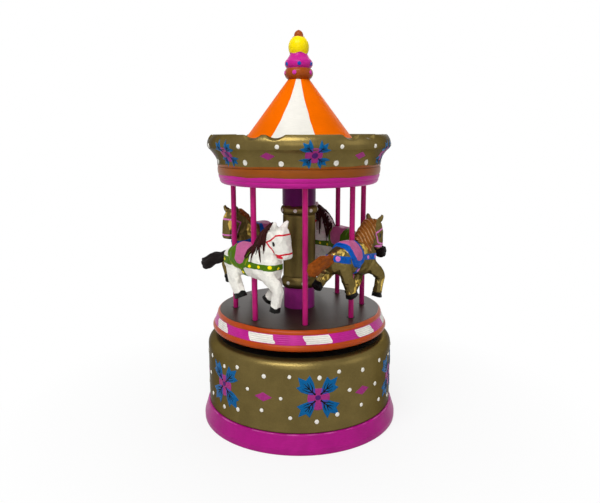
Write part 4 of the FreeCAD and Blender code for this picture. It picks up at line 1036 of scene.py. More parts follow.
@dataclass
class Turntable:
    """Round platform with a reeded magenta rim, painted blocks and dark rings at the poles."""

    turning: Turning = Turning((
        (0.0, 51.0), (2.5, 51.0), (2.5, 48.0), (43.4, 48.0), (43.85, 51.1, 1.75), (43.6, 51.2),
        (43.34, 52.04, 0.75), (43.04, 52.88, 0.75), (42.71, 53.72, 0.75), (42.35, 54.56, 0.75),
        (41.95, 55.4, 0.75), (42.1, 55.5), (40.2, DECK_TOP, 1.9), (0.0, DECK_TOP)), soften=0.08, spacing=0.9)
    columns: int = 256
    band_levels: Pair = (51.25, 55.4)
    band_radius: float = 40.0
    deck_radius: float = 40.9
    deck_level: float = 56.0
    block_centre: float = 11.0
    block_period: float = 36.0
    block_wide: float = 17.0
    block_levels: Pair = (51.5, 55.2)
    block_middle: float = 53.3
    block_lean: float = 0.75
    block_inset: float = 0.1
    degree_mm: float = 0.73
    bead_low: float = 51.2
    bead_pitch: float = 0.84
    bead_shift: float = 77.0
    # The grey lines in the grooves between the beads are painted shade. The grooves are finer than a pixel,
    # so the
    #     # lines are drawn as wide as they need to show.
    groove_shade_half: float = 0.11
    ring_radius: float = 2.25
    ring_level: float = 57.0
    thin_angle: float = 28.0
    thin_half: float = 10.0
    thin_fade: float = 0.6
    thin_level: float = 56.3

    def build(self) -> None:
        """Makes the platform; its paints are fields of height, angle and distance from the poles.

        A block leans with height, and its ends step a little from bead to bead, as a brush leaves them.
        """
        points, turn, faces = self.turning.surface(self.columns)
        radius = np.hypot(points[:, 0], points[:, 1])
        height = points[:, 2]
        low, high = self.band_levels
        # The pink band is a lighter copy of the magenta, partly painted light.
        band = np.minimum(height - low, high - height) + wave(turn, 0.12, 3)
        band = np.minimum(band, radius - self.band_radius)
        deck = np.minimum(self.deck_radius - radius + wave(turn, 0.2, 4), height - self.deck_level)
        leaning = turn + self.block_lean * (height - self.block_middle)
        slant = gap(leaning, self.block_centre, self.block_period)
        bead = self.bead_shift * np.round((height - self.bead_low) / self.bead_pitch - 0.5)
        half = self.block_wide / 2 + wave(turn, 2.2, 8) + wave(turn + bead, 0.45, 12, most=40)
        low, high = self.block_levels
        block = np.minimum((half - np.abs(slant)) * self.degree_mm, band - self.block_inset)
        block = np.minimum(block, np.minimum(height - low, high - height))
        groove = self.groove_shade_half - np.abs(gap(height, self.bead_low, self.bead_pitch))
        pole = np.radians(gap(turn, POLE_TURN, 360.0 / POLES)) * radius
        ring = self.ring_radius + wave(turn, 0.2, 9) - np.hypot(radius - POLE_RING, pole)
        thin = (self.thin_half - np.abs(gap(turn, self.thin_angle, 360.0))) * self.thin_fade
        made = new_piece("painted_platform", points, faces, PLATFORM_PAINT.make(), {
            "band": band, "block": block, "deck": deck, "groove": np.minimum(groove, block),
            "pole_ring": np.minimum(ring, height - self.ring_level),
            "thin_rust": np.minimum(thin + wave(turn, 2.0, 13), height - self.thin_level)})
        settle(made, "carousel", "rim_paint", "platform")


@dataclass
class Column:
    """Turned centre column with plum collars, bronze shaft, beads and cream dots, and the eight poles."""

    turning: Turning = Turning((
        (0.0, 54.0), (4.9, 54.0), (4.9, DECK_TOP), (7.9, DECK_TOP), (7.9, 68.4), (8.2, 68.4),
        (8.3, 73.6, 4.0), (8.0, 73.9), (8.2, 74.4), (8.2, 105.0), (7.9, 105.5), (8.3, 105.9),
        (8.3, 110.0, 2.6), (7.9, 110.3), (8.4, 110.6), (8.4, 121.5), (4.9, 121.5), (4.9, 125.0),
        (0.0, 125.0)), soften=0.14)
    columns: int = 96
    shaft_levels: Pair = (68.4, 110.2)
    lit_collar_top: float = 70.0
    dot_rows: tuple[Pair, ...] = ((71.2, -38.0), (108.0, -12.0))
    dot_count: int = 7
    dot_mm: float = 0.95
    dot_lift: float = 0.25
    pole_radius: float = 1.3
    pole_low: float = 52.6
    pole_high: float = 126.5
    pole_columns: int = 28

    def build(self) -> None:
        """Makes the column and its dots, then the poles."""
        points, turn, faces = self.turning.surface(self.columns)
        height = points[:, 2]
        low, high = self.shaft_levels
        shaft = np.minimum(height - low, high - height) + wave(turn, 0.2, 21)
        # Both collars are one paint: the lower collar's lighter plum is painted light, and the darker plum
        # above is painted shade.
        made = new_piece("painted_column", points, faces, COLUMN_PAINT.make(), {
            "shaft": shaft, "lit_low_collar": self.lit_collar_top - height})
        settle(made, "carousel", "column_paint", "centre_column")
        pile = DabPile(self.turning, self.dot_lift)
        for level, start in self.dot_rows:
            pile.row(ring_points(self.dot_mm, self.dot_mm), start, 360 / self.dot_count,
                     self.dot_count, level)
        settle(pile.piece("column_dots", ornament_paint(Shade.CREAM).shared()), "carousel", "column_paint")
        self.poles()

    def poles(self) -> None:
        """Turns the eight thin poles, which carry the canopy and the horses."""
        low, high, radius = self.pole_low, self.pole_high, self.pole_radius
        rod = Turning(((0.0, low), (radius, low), (radius, high), (0.0, high)), soften=0.08, spacing=2.0)
        points, _, faces = rod.surface(self.pole_columns)
        paint = POLE_PAINT.make()
        for step in range(POLES):
            angle = np.radians(POLE_TURN + 360 / POLES * step)
            spot = np.array([POLE_RING * np.sin(angle), -POLE_RING * np.cos(angle), 0.0])
            kind = "horse" if step % 2 else "plain"
            node = f"{kind}_pole_{step // 2 + 1}"
            settle(new_piece(f"painted_{node}", points + spot, faces, paint), "carousel", "pole_paint", node)


@dataclass
class Canopy:
    """Ribbed canopy base, flaring scalloped rim with flowers, striped roof and finial."""

    base: Turning = Turning((
        (0.0, 125.2), (5.0, 125.2), (5.0, 121.5), (37.8, 121.5), (38.7, 122.0), (39.4, 123.8, 2.6),
        (39.2, 123.95), (39.5, 124.1), (39.9, 126.0, 3.2), (39.6, 126.15), (39.95, 126.3),
        (40.15, 129.8, 7.0), (0.0, 129.8)), soften=0.16)
    rim: Turning = Turning((
        (28.0, 129.8), (39.9, 129.8), (40.3, 130.2), (40.35, 132.7), (44.5, 138.6, -14.0), (45.0, 139.8),
        (43.0, 145.0, 6.4), (42.0, 144.6, 0.8), (40.6, 139.4), (37.0, 135.0, -14.0), (28.0, 135.0)),
        ring=True, spacing=0.7)
    cone: Turning = Turning((
        (0.0, 129.9), (27.9, 129.9), (27.9, 135.0), (32.4, 135.0), (5.3, 171.0), (0.0, 171.0)), soften=0.15)
    knob: Turning = Turning((
        (0.0, 169.0), (5.2, 169.0), (5.2, 171.0), (6.0, 176.2, 3.3), (5.9, 176.4), (6.2, 180.0, 2.6),
        (4.2, 183.0, -9.0), (2.25, 191.2, 6.2), (0.0, 194.1, 2.75)), soften=0.1, spacing=0.6)
    columns: int = 192
    rim_columns: int = 480
    knob_columns: int = 72
    brown_from: float = 126.1
    brown_to: float = 131.0
    notch_start: float = -21.0
    notch_half: float = 7.3
    notch_radius: float = 6.2
    notch_tilt: float = 20.0
    notch_floor: float = 142.4
    notch_from: float = 138.0
    notch_blend: float = 0.12
    lip_radius: float = 45.0
    flower: FolkFlower = FolkFlower(7.5, (3.4, 3.2, 4.4, 3.3), (0.0, 0.0, 1.4), 0.24, 0.42, 45.0, 0.84,
                                    0.84, (0.68, 0.12))
    flower_angle: float = 9.4
    flower_level: float = 136.1
    flowers: int = 6
    lifts: tuple[float, ...] = (0.06, 0.11, 0.16, 0.2, 0.28)
    patch_mm: float = 3.4
    diamond_angle: float = -19.1
    diamond_drop: float = 0.3
    diamond_half: Pair = (3.5, 1.7)
    dots: tuple[Pair, ...] = ((-16.9, 3.8), (8.0, 3.8), (-16.9, -3.4), (8.2, -3.6))
    high_dot: float = 1.05
    low_dot: float = 1.25
    stripes: int = 3
    stripe_level: float = 146.0
    stripe_run: float = 24.0
    stripe_half: Pair = (22.5, 11.0)
    stripe_turn: Pair = (-5.7, 3.2)
    bead_levels: Pair = (176.3, 184.5)
    drop_level: float = 183.2
    tip_level: float = 190.6
    knob_lift: float = 0.2

    def build(self) -> None:
        """Makes the four turned pieces and paints them."""
        points, turn, faces = self.base.surface(self.columns)
        brown = points[:, 2] - self.brown_from + wave(turn, 0.3, 31)
        made = new_piece("painted_canopy_base", points, faces, CANOPY_PAINT.make(), {"brown_beads": brown})
        settle(made, "carousel", "canopy_paint", "canopy_base")
        self.flared_rim()
        self.roof()
        self.finial()

    def flared_rim(self) -> None:
        """Makes the scalloped rim: each point stays under the floor of the nearest round notch.

        The floor is the underside of a cylinder of the notch radius, lying towards the axle and
        tilted: floor + (lip - radius) tan(tilt) + (r - sqrt(r^2 - d^2)) / cos(tilt).
        """
        points, turn, faces = self.rim.surface(self.rim_columns)
        radius = np.hypot(points[:, 0], points[:, 1])
        height = points[:, 2]
        tilt = np.radians(self.notch_tilt)
        pair = np.abs(gap(turn, self.notch_start, 360.0 / self.flowers))
        aside = np.radians(np.abs(pair - self.notch_half)) * radius
        inside = np.clip(self.notch_radius ** 2 - aside ** 2, 0, None)
        floor = (self.notch_floor + (self.lip_radius - radius) * np.tan(tilt)
                 + (self.notch_radius - np.sqrt(inside)) / np.cos(tilt))
        cut = soft_min(height, floor, self.notch_blend)
        points[:, 2] = np.where(height > self.notch_from, cut, height)
        brown = self.brown_to - points[:, 2] + wave(turn, 0.25, 33)
        made = new_piece("painted_canopy_rim", points, faces, RIM_PAINT.make(), {"brown_foot": brown})
        settle(made, "carousel", "gold_paint", "canopy_rim")
        self.decorate()

    def decorate(self) -> None:
        """Paints the flowers, diamonds and dots round the flare."""
        piles = paint_pots(self.rim, self.lifts, self.patch_mm)
        chance = np.random.default_rng(17)
        for step in range(self.flowers):
            shift = 360.0 / self.flowers * step
            self.flower.paint(piles, self.flower_angle + shift, self.flower_level, 70 + step)
            middle = self.diamond_angle + shift
            shape = diamond(self.diamond_half, chance.normal(-0.05, 0.05))
            piles[Shade.CROSS_PINK].blob(shape, middle, self.flower_level - self.diamond_drop)
            for away, up in self.dots:
                size = chance.normal(self.high_dot if up > 0 else self.low_dot, 0.05)
                spot = middle + away + chance.normal(0, 0.5)
                piles[Shade.CREAM].blob(ring_points(size, size), spot, self.flower_level + up)
        settle_ornament(piles, "rim", "carousel")

    def roof(self) -> None:
        """Makes the cone with three broad cream stripes that narrow and turn towards the top."""
        points, turn, faces = self.cone.surface(self.columns)
        rise = np.clip((points[:, 2] - self.stripe_level) / self.stripe_run, -0.5, 1.0)
        half = self.stripe_half[0] - self.stripe_half[1] * rise
        middle = self.stripe_turn[0] + self.stripe_turn[1] * rise
        radius = np.hypot(points[:, 0], points[:, 1])
        aside = np.abs(gap(turn, 0.0, 360.0 / self.stripes) - middle)
        stripe = np.radians(half - aside) * radius + wave(points[:, 2] * 4, 0.15, 35)
        made = new_piece("painted_roof", points, faces, ROOF_PAINT.make(), {"cream_stripe": stripe})
        settle(made, "carousel", "roof_paint", "roof_cone")

    def finial(self) -> None:
        """Makes the finial: brown collar, magenta bead, yellow drop and brown tip, with dots."""
        points, turn, faces = self.knob.surface(self.knob_columns)
        height = points[:, 2]
        low, high = self.bead_levels
        made = new_piece("painted_finial", points, faces, FINIAL_PAINT.make(), {
            "bead": np.minimum(height - low, high - height),
            "drop": height - self.drop_level + wave(turn, 0.45, 41, most=6),
            "tip": height - self.tip_level + wave(turn, 0.25, 42, most=5)})
        settle(made, "carousel", "finial_paint", "finial")
        collar, bead = DabPile(self.knob, self.knob_lift), DabPile(self.knob, self.knob_lift)
        collar.row(ring_points(1.05, 1.1), -18.0, 75, 5, 174.0)
        bead.row(ring_points(0.95, 0.95), 2.0, 60, 6, 178.0)
        pink, blue = (ornament_paint(shade).shared() for shade in (Shade.BRIGHT_PINK, Shade.CLOTH_BLUE))
        settle(collar.piece("finial_pink_dots", pink), "carousel", "finial_paint")
        settle(bead.piece("finial_blue_dots", blue), "carousel", "finial_paint")


@dataclass(frozen=True)
class Limb:
    """A carved limb: rows of (centre, half height, half width) with superellipse sections."""

    rows: tuple
    squareness: float

    def spline(self, steps: int = 8) -> Array:
        """Draws a cubic through the limb's rows.

        Args:
            steps: points to each span.
        Returns:
            Rows of centre, half height and half width.
        """
        knots = np.array([[*spot, tall, wide] for spot, tall, wide in self.rows], float)
        slope = np.gradient(knots, axis=0)
        share = np.arange(steps)[:, None] / steps
        a, b, m, n = knots[:-1, None], knots[1:, None], slope[:-1, None], slope[1:, None]
        curve = ((2 * share ** 3 - 3 * share ** 2 + 1) * a + (share ** 3 - 2 * share ** 2 + share) * m
                 + (3 * share ** 2 - 2 * share ** 3) * b + (share ** 3 - share ** 2) * n)
        return np.vstack([curve.reshape(-1, 5), knots[-1:]])

    def last_way(self) -> Array:
        """Direction of travel at the limb's end."""
        return unit(np.subtract(self.rows[-1][0], self.rows[-2][0]))

    def axes(self, line: Array) -> tuple[Array, Array]:
        """Directions of travel and of the section's height at each row, the width lying along Y."""
        way = unit(np.gradient(line[:, :3], axis=0))
        return way, unit(np.cross(way, [0.0, 1.0, 0.0]))

    def shell(self, mirrored: bool = False, around: int = 28,
              groove: Callable | None = None) -> tuple[Array, list]:
        """Carries the section along the limb and closes both ends.

        Args:
            mirrored: whether the limb lies on the other side.
            around: points in a section.
            groove: share of the section's size lost at (row share, angle), for carved hair.
        Returns:
            Vertices and faces.
        """
        line = self.spline()
        _, up = self.axes(line)
        angle = np.arange(around) * 2 * np.pi / around
        wide, tall = ring_points(1.0, 1.0, around, self.squareness).T
        share = np.linspace(0, 1, len(line))[:, None]
        size = 1 - groove(share, angle[None, :]) if groove else np.ones((len(line), around))
        side = unit(np.cross(np.gradient(line[:, :3], axis=0), up))
        grid = (line[:, None, :3] + up[:, None, :] * (tall * line[:, 3:4] * size)[..., None]
                + side[:, None, :] * (wide * line[:, 4:5] * size)[..., None])
        points = np.vstack([grid.reshape(-1, 3), line[:1, :3], line[-1:, :3]])
        faces = capped(len(line), around)
        if mirrored:
            points = points * [1, -1, 1]
        volume = np.einsum("ij,ij->i", points[[f[0] for f in faces]],
                           np.cross(points[[f[1] for f in faces]], points[[f[2] for f in faces]])).sum()
        return points, [f[::-1] for f in faces] if volume < 0 else faces


def nearest(spots: Array, start: Array, side: Array) -> Array:
    """Distance from each spot to the nearest of some straight sides, given as starts and spans."""
    share = np.clip(((spots - start) * side).sum(-1) / (side ** 2).sum(-1), 0, 1)
    return np.linalg.norm(spots - start - share[..., None] * side, axis=-1).min(1)


def polygon_field(flat: Array, corners: Points) -> Array:
    """Signed distance in mm to a polygon, positive inside.

    Args:
        flat: rows (ahead, up) of the side view.
        corners: the polygon's corners.
    Returns:
        Distance to the nearest side, its sign from counting crossings of a level ray.
    """
    spots = flat[:, None, :]
    start = np.array(corners, float)[None]
    end = np.roll(start, -1, 1)
    side = end - start
    near = nearest(spots, start, side)
    rising = (start[..., 1] <= spots[..., 1]) != (end[..., 1] <= spots[..., 1])
    steep = np.where(side[..., 1] == 0, 1e-9, side[..., 1])
    crossing = start[..., 0] + (spots[..., 1] - start[..., 1]) / steep * side[..., 0]
    inside = (rising & (crossing > spots[..., 0])).sum(1) % 2 == 1
    return np.where(inside, near, -near)


def line_field(flat: Array, path: Points, half: float) -> Array:
    """Half width less the distance to an open line, so positive on a painted strap."""
    knots = np.array(path, float)
    return half - nearest(flat[:, None, :], knots[None, :-1], np.diff(knots, axis=0)[None])


def ramp(values: Array, low: float, high: float) -> Array:
    """Smooth step from 0 at low to 1 at high."""
    share = np.clip((values - low) / (high - low), 0, 1)
    return share * share * (3 - 2 * share)


@dataclass(frozen=True)
class Harness:
    """Painted harness of one kind of horse, drawn on the side view as (ahead, up) in mm."""

    cloth: Points
    seat: Points
    straps: tuple
    spots: Points
    brow: Points
    cheek: Points
    nose: Points
    eye: Pair
    girth: float
    line_mm: float = 0.38
    girth_half: float = 1.25
    girth_levels: Pair = (20.2, 26.5)
    dot_side: float = 2.6
    chest_dot: Triple = (13.5, 27.3, 0.7)
    lip: Points = ((16.3, 33.5), (20.2, 33.4))
    lip_half: float = 0.55
    lip_side: float = 1.4
    eye_half: Pair = (0.85, 1.15)
    eye_side: float = 1.8
    piping_in: float = 0.5
    piping_half: float = 0.28

    def fields(self, points: Array) -> dict[str, Array]:
        """Distances in mm from the edges of each painted part.

        Args:
            points: carved vertices, level on the bench.
        Returns:
            One field for each painted part, positive inside.
        """
        ahead, side, up = points.T
        flat = points[:, [0, 2]]
        cloth = polygon_field(flat, self.cloth)
        low, high = self.girth_levels
        belly = np.minimum(self.girth_half - np.abs(ahead - self.girth), np.minimum(high - up, up - low))
        straps = np.maximum.reduce([belly, *(polygon_field(flat, strap) for strap in self.straps)])
        spots = np.array(self.spots)
        away = np.hypot(ahead[:, None] - spots[:, 0], up[:, None] - spots[:, 1])
        dots = np.where(np.abs(side) > self.dot_side, (spots[:, 2] - away).max(1), -1.0)
        front, level, size = self.chest_dot
        chest = size - np.hypot(side, up - level) - np.where(ahead > front, 0, 9)
        lines = [line_field(flat, path, self.line_mm) for path in (self.brow, self.cheek, self.nose)]
        lip = np.minimum(line_field(flat, self.lip, self.lip_half), np.abs(side) - self.lip_side)
        wide, tall = self.eye_half
        eye = 1.0 - np.hypot((ahead - self.eye[0]) / wide, (up - self.eye[1]) / tall)
        eye = np.where(np.abs(side) > self.eye_side, eye * 0.9, -1.0)
        # The light line along the cloth's edge is partly lime piping and partly painted highlight on the
        # raised edge. A
        #         # brush that runs dry and is filled again breaks it.
        dry = 0.35 * np.sin(0.9 * up + 0.5 * ahead) + 0.1
        return {"cloth": np.maximum(cloth, straps), "blanket": cloth, "straps": straps,
                "piping_and_highlight": np.minimum(self.piping_half - np.abs(cloth - self.piping_in), dry),
                "seat": polygon_field(flat, self.seat), "dots": np.maximum(dots, chest),
                "bridle": np.maximum.reduce([*lines, lip]), "eye": eye}


WHITE_HARNESS = Harness(
    cloth=((-14.4, 44.0), (-14.0, 35.0), (-13.4, 31.0), (-11.2, 28.0), (-7.9, 25.9), (-4.0, 25.0),
           (-0.2, 26.8), (1.2, 30.0), (2.2, 33.5), (1.6, 37.4), (0.6, 44.0)),
    seat=((-9.8, 44.0), (-8.0, 36.6), (-6.8, 33.4), (-6.9, 30.4), (-5.6, 28.4), (-3.6, 27.9), (-1.6, 29.0),
          (-0.4, 31.4), (0.4, 34.2), (0.2, 37.4), (-0.6, 44.0)),
    straps=(((0.0, 26.6), (7.4, 26.5), (24.0, 26.4), (24.0, 29.4), (7.4, 29.1), (0.0, 29.8)),
            ((-26.0, 26.9), (-10.0, 26.4), (-9.0, 30.2), (-26.0, 30.4))),
    spots=((2.1, 27.6, 0.72), (7.4, 27.8, 0.72), (13.6, 28.2, 0.85), (-2.9, 24.0, 0.72), (-16.4, 28.5, 0.7)),
    brow=((11.4, 39.7), (13.2, 40.4), (15.0, 41.5), (17.1, 43.1), (19.1, 43.5), (26.0, 43.4)),
    cheek=((11.4, 39.7), (13.7, 37.2), (15.1, 34.6), (16.0, 33.7)),
    nose=((15.8, 34.3), (18.6, 34.2), (21.6, 35.0), (27.0, 34.9)),
    eye=(15.75, 39.2), girth=-2.9)
GOLD_HARNESS = Harness(
    cloth=((-13.6, 44.0), (-12.6, 36.0), (-11.1, 34.2), (-10.3, 32.1), (-9.2, 30.0), (-7.4, 27.2),
           (-5.3, 25.3), (-1.8, 25.0), (1.3, 27.7), (1.4, 31.1), (0.2, 34.7), (-0.8, 37.3), (-1.2, 44.0)),
    seat=((-11.4, 44.0), (-10.2, 37.6), (-9.0, 35.3), (-7.1, 31.8), (-5.6, 29.4), (-4.0, 28.4), (-1.8, 28.6),
          (-0.7, 29.8), (-0.9, 31.6), (-1.8, 34.0), (-2.6, 37.0), (-3.0, 44.0)),
    straps=(((0.5, 28.0), (3.0, 28.2), (12.0, 27.6), (24.0, 27.2), (24.0, 30.2), (11.7, 30.5), (2.7, 30.9),
             (0.5, 31.0)),
            ((-26.0, 29.6), (-19.4, 28.9), (-10.4, 27.4), (-8.6, 27.2), (-9.4, 30.6), (-11.6, 30.9),
             (-19.6, 31.8), (-26.0, 32.4))),
    spots=((-16.6, 30.1, 1.15), (5.5, 29.2, 0.9), (12.4, 29.0, 0.8), (-1.3, 23.6, 0.85)),
    brow=((13.6, 40.1), (16.6, 41.4), (19.4, 42.6), (26.0, 42.6)),
    cheek=((13.6, 40.1), (15.2, 37.6), (16.5, 35.4)),
    nose=((16.5, 35.4), (19.2, 34.6), (21.7, 34.6), (27.0, 34.6)),
    eye=(17.6, 38.8), girth=-1.5)


class Breed(Enum):
    """The two kinds of horse."""

    WHITE = "white"
    GOLD = "gold"


@dataclass(frozen=True)
class Stance:
    """How one horse stands: quarter turns round the ring, nose dip, lift, shift and its tail's set."""

    name: str
    breed: Breed
    step: int
    dip: float = 0.0
    lift: float = 0.0
    shift: float = 0.0
    tail_lift: float = 0.0
    tail_depth: float = 0.0

    def pose(self, points: Array, is_tail: bool = False) -> Array:
        """Moves carved points from the bench to the platform.

        The tail is pushed in and raised about its root; the horse is dipped about its middle, then
        set on its pole and turned to face along the ring.

        Args:
            points: vertices in mm, level on the bench.
            is_tail: whether they belong to the tail.
        Returns:
            Vertices in the part's frame.
        """
        root = np.array([-18.5, 0.0, 29.3])
        inward = np.array([0.94, 0.0, 0.34])
        middle = np.array([0.0, 0.0, 28.0])
        if is_tail:
            points = self.dipped(points + inward * self.tail_depth, root, self.tail_lift)
        points = self.dipped(points, middle, self.dip) + [self.shift, 0.0, self.lift]
        turn = np.radians(POLE_TURN - 45.0 + 90.0 * self.step)
        spot = POLE_RING * np.array([np.cos(turn), np.sin(turn)])
        heading = turn + np.pi / 2
        across = points[:, 0] * np.cos(heading) - points[:, 1] * np.sin(heading) + spot[0]
        along = points[:, 0] * np.sin(heading) + points[:, 1] * np.cos(heading) + spot[1]
        return np.stack([across, along, points[:, 2] + DECK_TOP], -1)

    @staticmethod
    def dipped(points: Array, about: Array, angle: float) -> Array:
        """Turns points about a level line across the horse.

        Args:
            points: vertices in mm.
            about: a point of the line.
            angle: degrees, nose down where positive.
        Returns:
            The turned vertices.
        """
        turn = np.radians(angle)
        off = points - about
        ahead = off[:, 0] * np.cos(turn) + off[:, 2] * np.sin(turn)
        upward = off[:, 2] * np.cos(turn) - off[:, 0] * np.sin(turn)
        return np.stack([ahead, off[:, 1], upward], -1) + about


@dataclass
class Stable:
    """The four carved horses with their painted harness, manes and tails."""

    torso: Limb = Limb((
        ((-18.6, 0, 28.6), 2.4, 1.9), ((-17.2, 0, 28.6), 4.6, 3.5), ((-13.0, 0, 28.3), 6.5, 5.1),
        ((-5.0, 0, 28.7), 7.4, 5.6), ((3.0, 0, 28.7), 8.2, 5.4), ((9.6, 0, 27.6), 8.2, 5.0),
        ((13.8, 0, 26.9), 6.8, 4.4), ((15.4, 0, 26.7), 4.4, 3.2)), 2.5)
    neck: Limb = Limb((
        ((6.0, 0, 29.5), 8.2, 4.9), ((9.0, 0, 35.2), 6.2, 4.4), ((11.2, 0, 39.9), 5.0, 4.0),
        ((13.0, 0, 44.0), 3.6, 3.4)), 2.4)
    head: Limb = Limb((
        ((15.4, 0, 46.9), 2.5, 3.1), ((16.0, 0, 43.6), 4.3, 3.9), ((16.8, 0, 39.8), 4.4, 4.0),
        ((18.2, 0, 36.2), 3.7, 3.6), ((19.2, 0, 33.6), 3.1, 3.3), ((19.5, 0, 32.1), 2.2, 2.5)), 3.8)
    crest: Limb = Limb((
        ((2.4, -0.4, 36.6), 1.4, 1.6), ((5.6, -0.5, 40.2), 1.9, 2.3), ((9.2, -0.5, 43.6), 2.0, 2.4),
        ((12.4, -0.3, 46.2), 1.4, 1.8)), 2.0)
    ear: Limb = Limb((
        ((15.6, 2.6, 45.4), 1.9, 1.4), ((16.6, 3.5, 47.3), 1.7, 1.3), ((17.4, 4.2, 49.1), 0.8, 0.7)), 2.0)
    seat: Limb = Limb((
        ((-11.6, 0, 29.6), 5.6, 4.6), ((-10.0, 0, 29.4), 7.2, 5.7), ((-5.0, 0, 29.4), 7.7, 6.1),
        ((0.4, 0, 29.6), 7.8, 6.0), ((2.2, 0, 30.0), 6.2, 5.0)), 2.4)
    fore_outer: Limb = Limb((
        ((9.6, -3.0, 25.6), 4.4, 2.6), ((14.4, -3.9, 22.0), 3.5, 2.5), ((18.2, -4.1, 18.4), 2.8, 2.4),
        ((17.7, -4.1, 13.4), 2.5, 2.3), ((17.1, -4.1, 10.4), 2.5, 2.3)), 2.6)
    fore_inner: Limb = Limb((
        ((9.0, 2.8, 24.0), 4.2, 2.6), ((10.4, 3.7, 18.4), 3.2, 2.4), ((8.2, 3.9, 14.4), 2.7, 2.3),
        ((5.8, 3.9, 11.6), 2.5, 2.3)), 2.6)
    hind_outer: Limb = Limb((
        ((-10.8, -2.6, 27.0), 5.0, 3.0), ((-9.6, -4.0, 20.8), 3.6, 2.6), ((-7.6, -4.3, 16.8), 3.1, 2.5),
        ((-5.9, -4.3, 13.4), 3.1, 2.4)), 2.6)
    hind_inner: Limb = Limb((
        ((-12.0, 2.6, 26.6), 4.6, 3.0), ((-15.0, 3.9, 22.6), 3.3, 2.6), ((-18.2, 4.1, 19.9), 2.6, 2.4),
        ((-20.4, 4.1, 18.0), 2.5, 2.3)), 2.6)
    tail: Limb = Limb((
        ((-15.6, 0, 30.2), 2.0, 1.9), ((-20.4, -0.2, 29.2), 2.5, 2.1), ((-27.0, -0.4, 26.4), 3.1, 2.3),
        ((-32.6, -0.5, 24.2), 3.3, 2.4), ((-35.6, -0.5, 23.5), 2.9, 2.1)), 2.4)
    hoof_length: float = 2.4
    hoof_flare: float = 1.10
    hoof_reach: float = 4.0
    hoof_over: float = 0.15
    voxel: float = 0.30
    sand_share: float = 0.5
    sand_passes: int = 4
    cuts: int = 330
    cut_mm: float = 3.6
    cut_flat: float = 0.7
    cut_depth: float = 0.32
    cut_most: float = 1.6
    cut_facing: float = 0.4
    blanket_lift: float = 0.28
    seat_lift: float = 0.30
    strap_lift: float = 0.14
    dot_lift: float = 0.14
    ankle_cut: float = 0.12
    mane_slab: Points = (
        (0.0, 38.4), (2.0, 44.0), (8.0, 49.6), (13.0, 49.6), (14.1, 46.2), (12.9, 41.0), (10.8, 35.9),
        (7.6, 30.9), (4.4, 34.6), (2.4, 36.2))
    mane_comb: Points = ((1.0, 36.4), (5.6, 41.4), (9.2, 44.8), (13.2, 47.4))
    comb_half: float = 2.6
    mane_side: float = 0.6
    # The carved locks are closer than the picture can show, so they are drawn farther apart.
    lock_mm: float = 1.55
    neck_round: Pair = (0.645, 0.764)
    lock_lay: Pair = (0.84, 0.545)
    lock_line_and_highlight: float = 0.2
    # Middle and half sizes of each bright gold patch: partly gold rubbed bright by handling and partly
    # painted
    #     # highlight where the light catches the horse.
    rubs_and_sheens: Points = (
        (-13.9, -4.4, 33.6, 2.9, 2.6, 2.2), (-17.6, -1.8, 33.0, 1.2, 1.6, 1.2),
        (3.2, -4.8, 34.0, 2.4, 2.4, 3.2), (-16.6, 1.8, 20.8, 5.4, 1.7, 1.5),
        (8.4, 2.6, 15.0, 3.2, 1.5, 1.9), (18.7, -6.0, 14.2, 1.5, 1.8, 4.2),
        (-5.4, -5.6, 15.2, 1.3, 1.3, 1.6), (19.6, -2.2, 44.4, 1.6, 1.6, 2.4),
        (-6.4, -5.4, 13.4, 2.6, 1.6, 0.9), (-13.5, 4.4, 33.4, 2.9, 2.6, 2.0),
        (8.4, 4.4, 35.6, 1.8, 1.6, 3.4), (19.6, 2.4, 39.0, 1.6, 1.8, 3.6))
    rub_mm: float = 1.6
    tail_around: int = 56
    tail_wave: float = 0.6
    tail_start: float = 19.0
    tail_beat: float = 0.55
    tail_free: Pair = (18.0, 23.0)
    strand_count: int = 52
    strand_roots: Points = ((2.2, 38.4), (4.6, 41.9), (8.1, 45.3), (10.4, 47.2), (12.4, 48.2))
    strand_mm: Pair = (5.0, 12.5)
    strand_radii: Pair = (0.34, 0.62)
    stances: tuple[Stance, ...] = (
        Stance("gold_horse_front", Breed.GOLD, 0, 4.0, 0.6, 0.9, 7.0, 3.0),
        Stance("white_horse_back", Breed.WHITE, 1, 0.0, 0.4, 1.0, 8.0, 5.0),
        Stance("gold_horse_back", Breed.GOLD, 2, 3.0, 2.8, -1.8, 4.0, 3.4),
        Stance("white_horse_front", Breed.WHITE, 3))

    def legs(self) -> tuple[Limb, ...]:
        """The four legs."""
        return self.fore_outer, self.fore_inner, self.hind_outer, self.hind_inner

    def hoof(self, leg: Limb) -> Limb:
        """Carries a leg on along its last way as a flared hoof.

        Args:
            leg: the leg.
        Returns:
            The hoof.
        """
        ankle, tall, wide = leg.rows[-1]
        way = leg.last_way()
        low = np.array(ankle) + way * self.hoof_length
        foot = (tuple(low), tall * self.hoof_flare, wide * self.hoof_flare)
        return Limb(((tuple(ankle - way * 0.4), tall * 0.98, wide * 0.98), foot), 2.6)

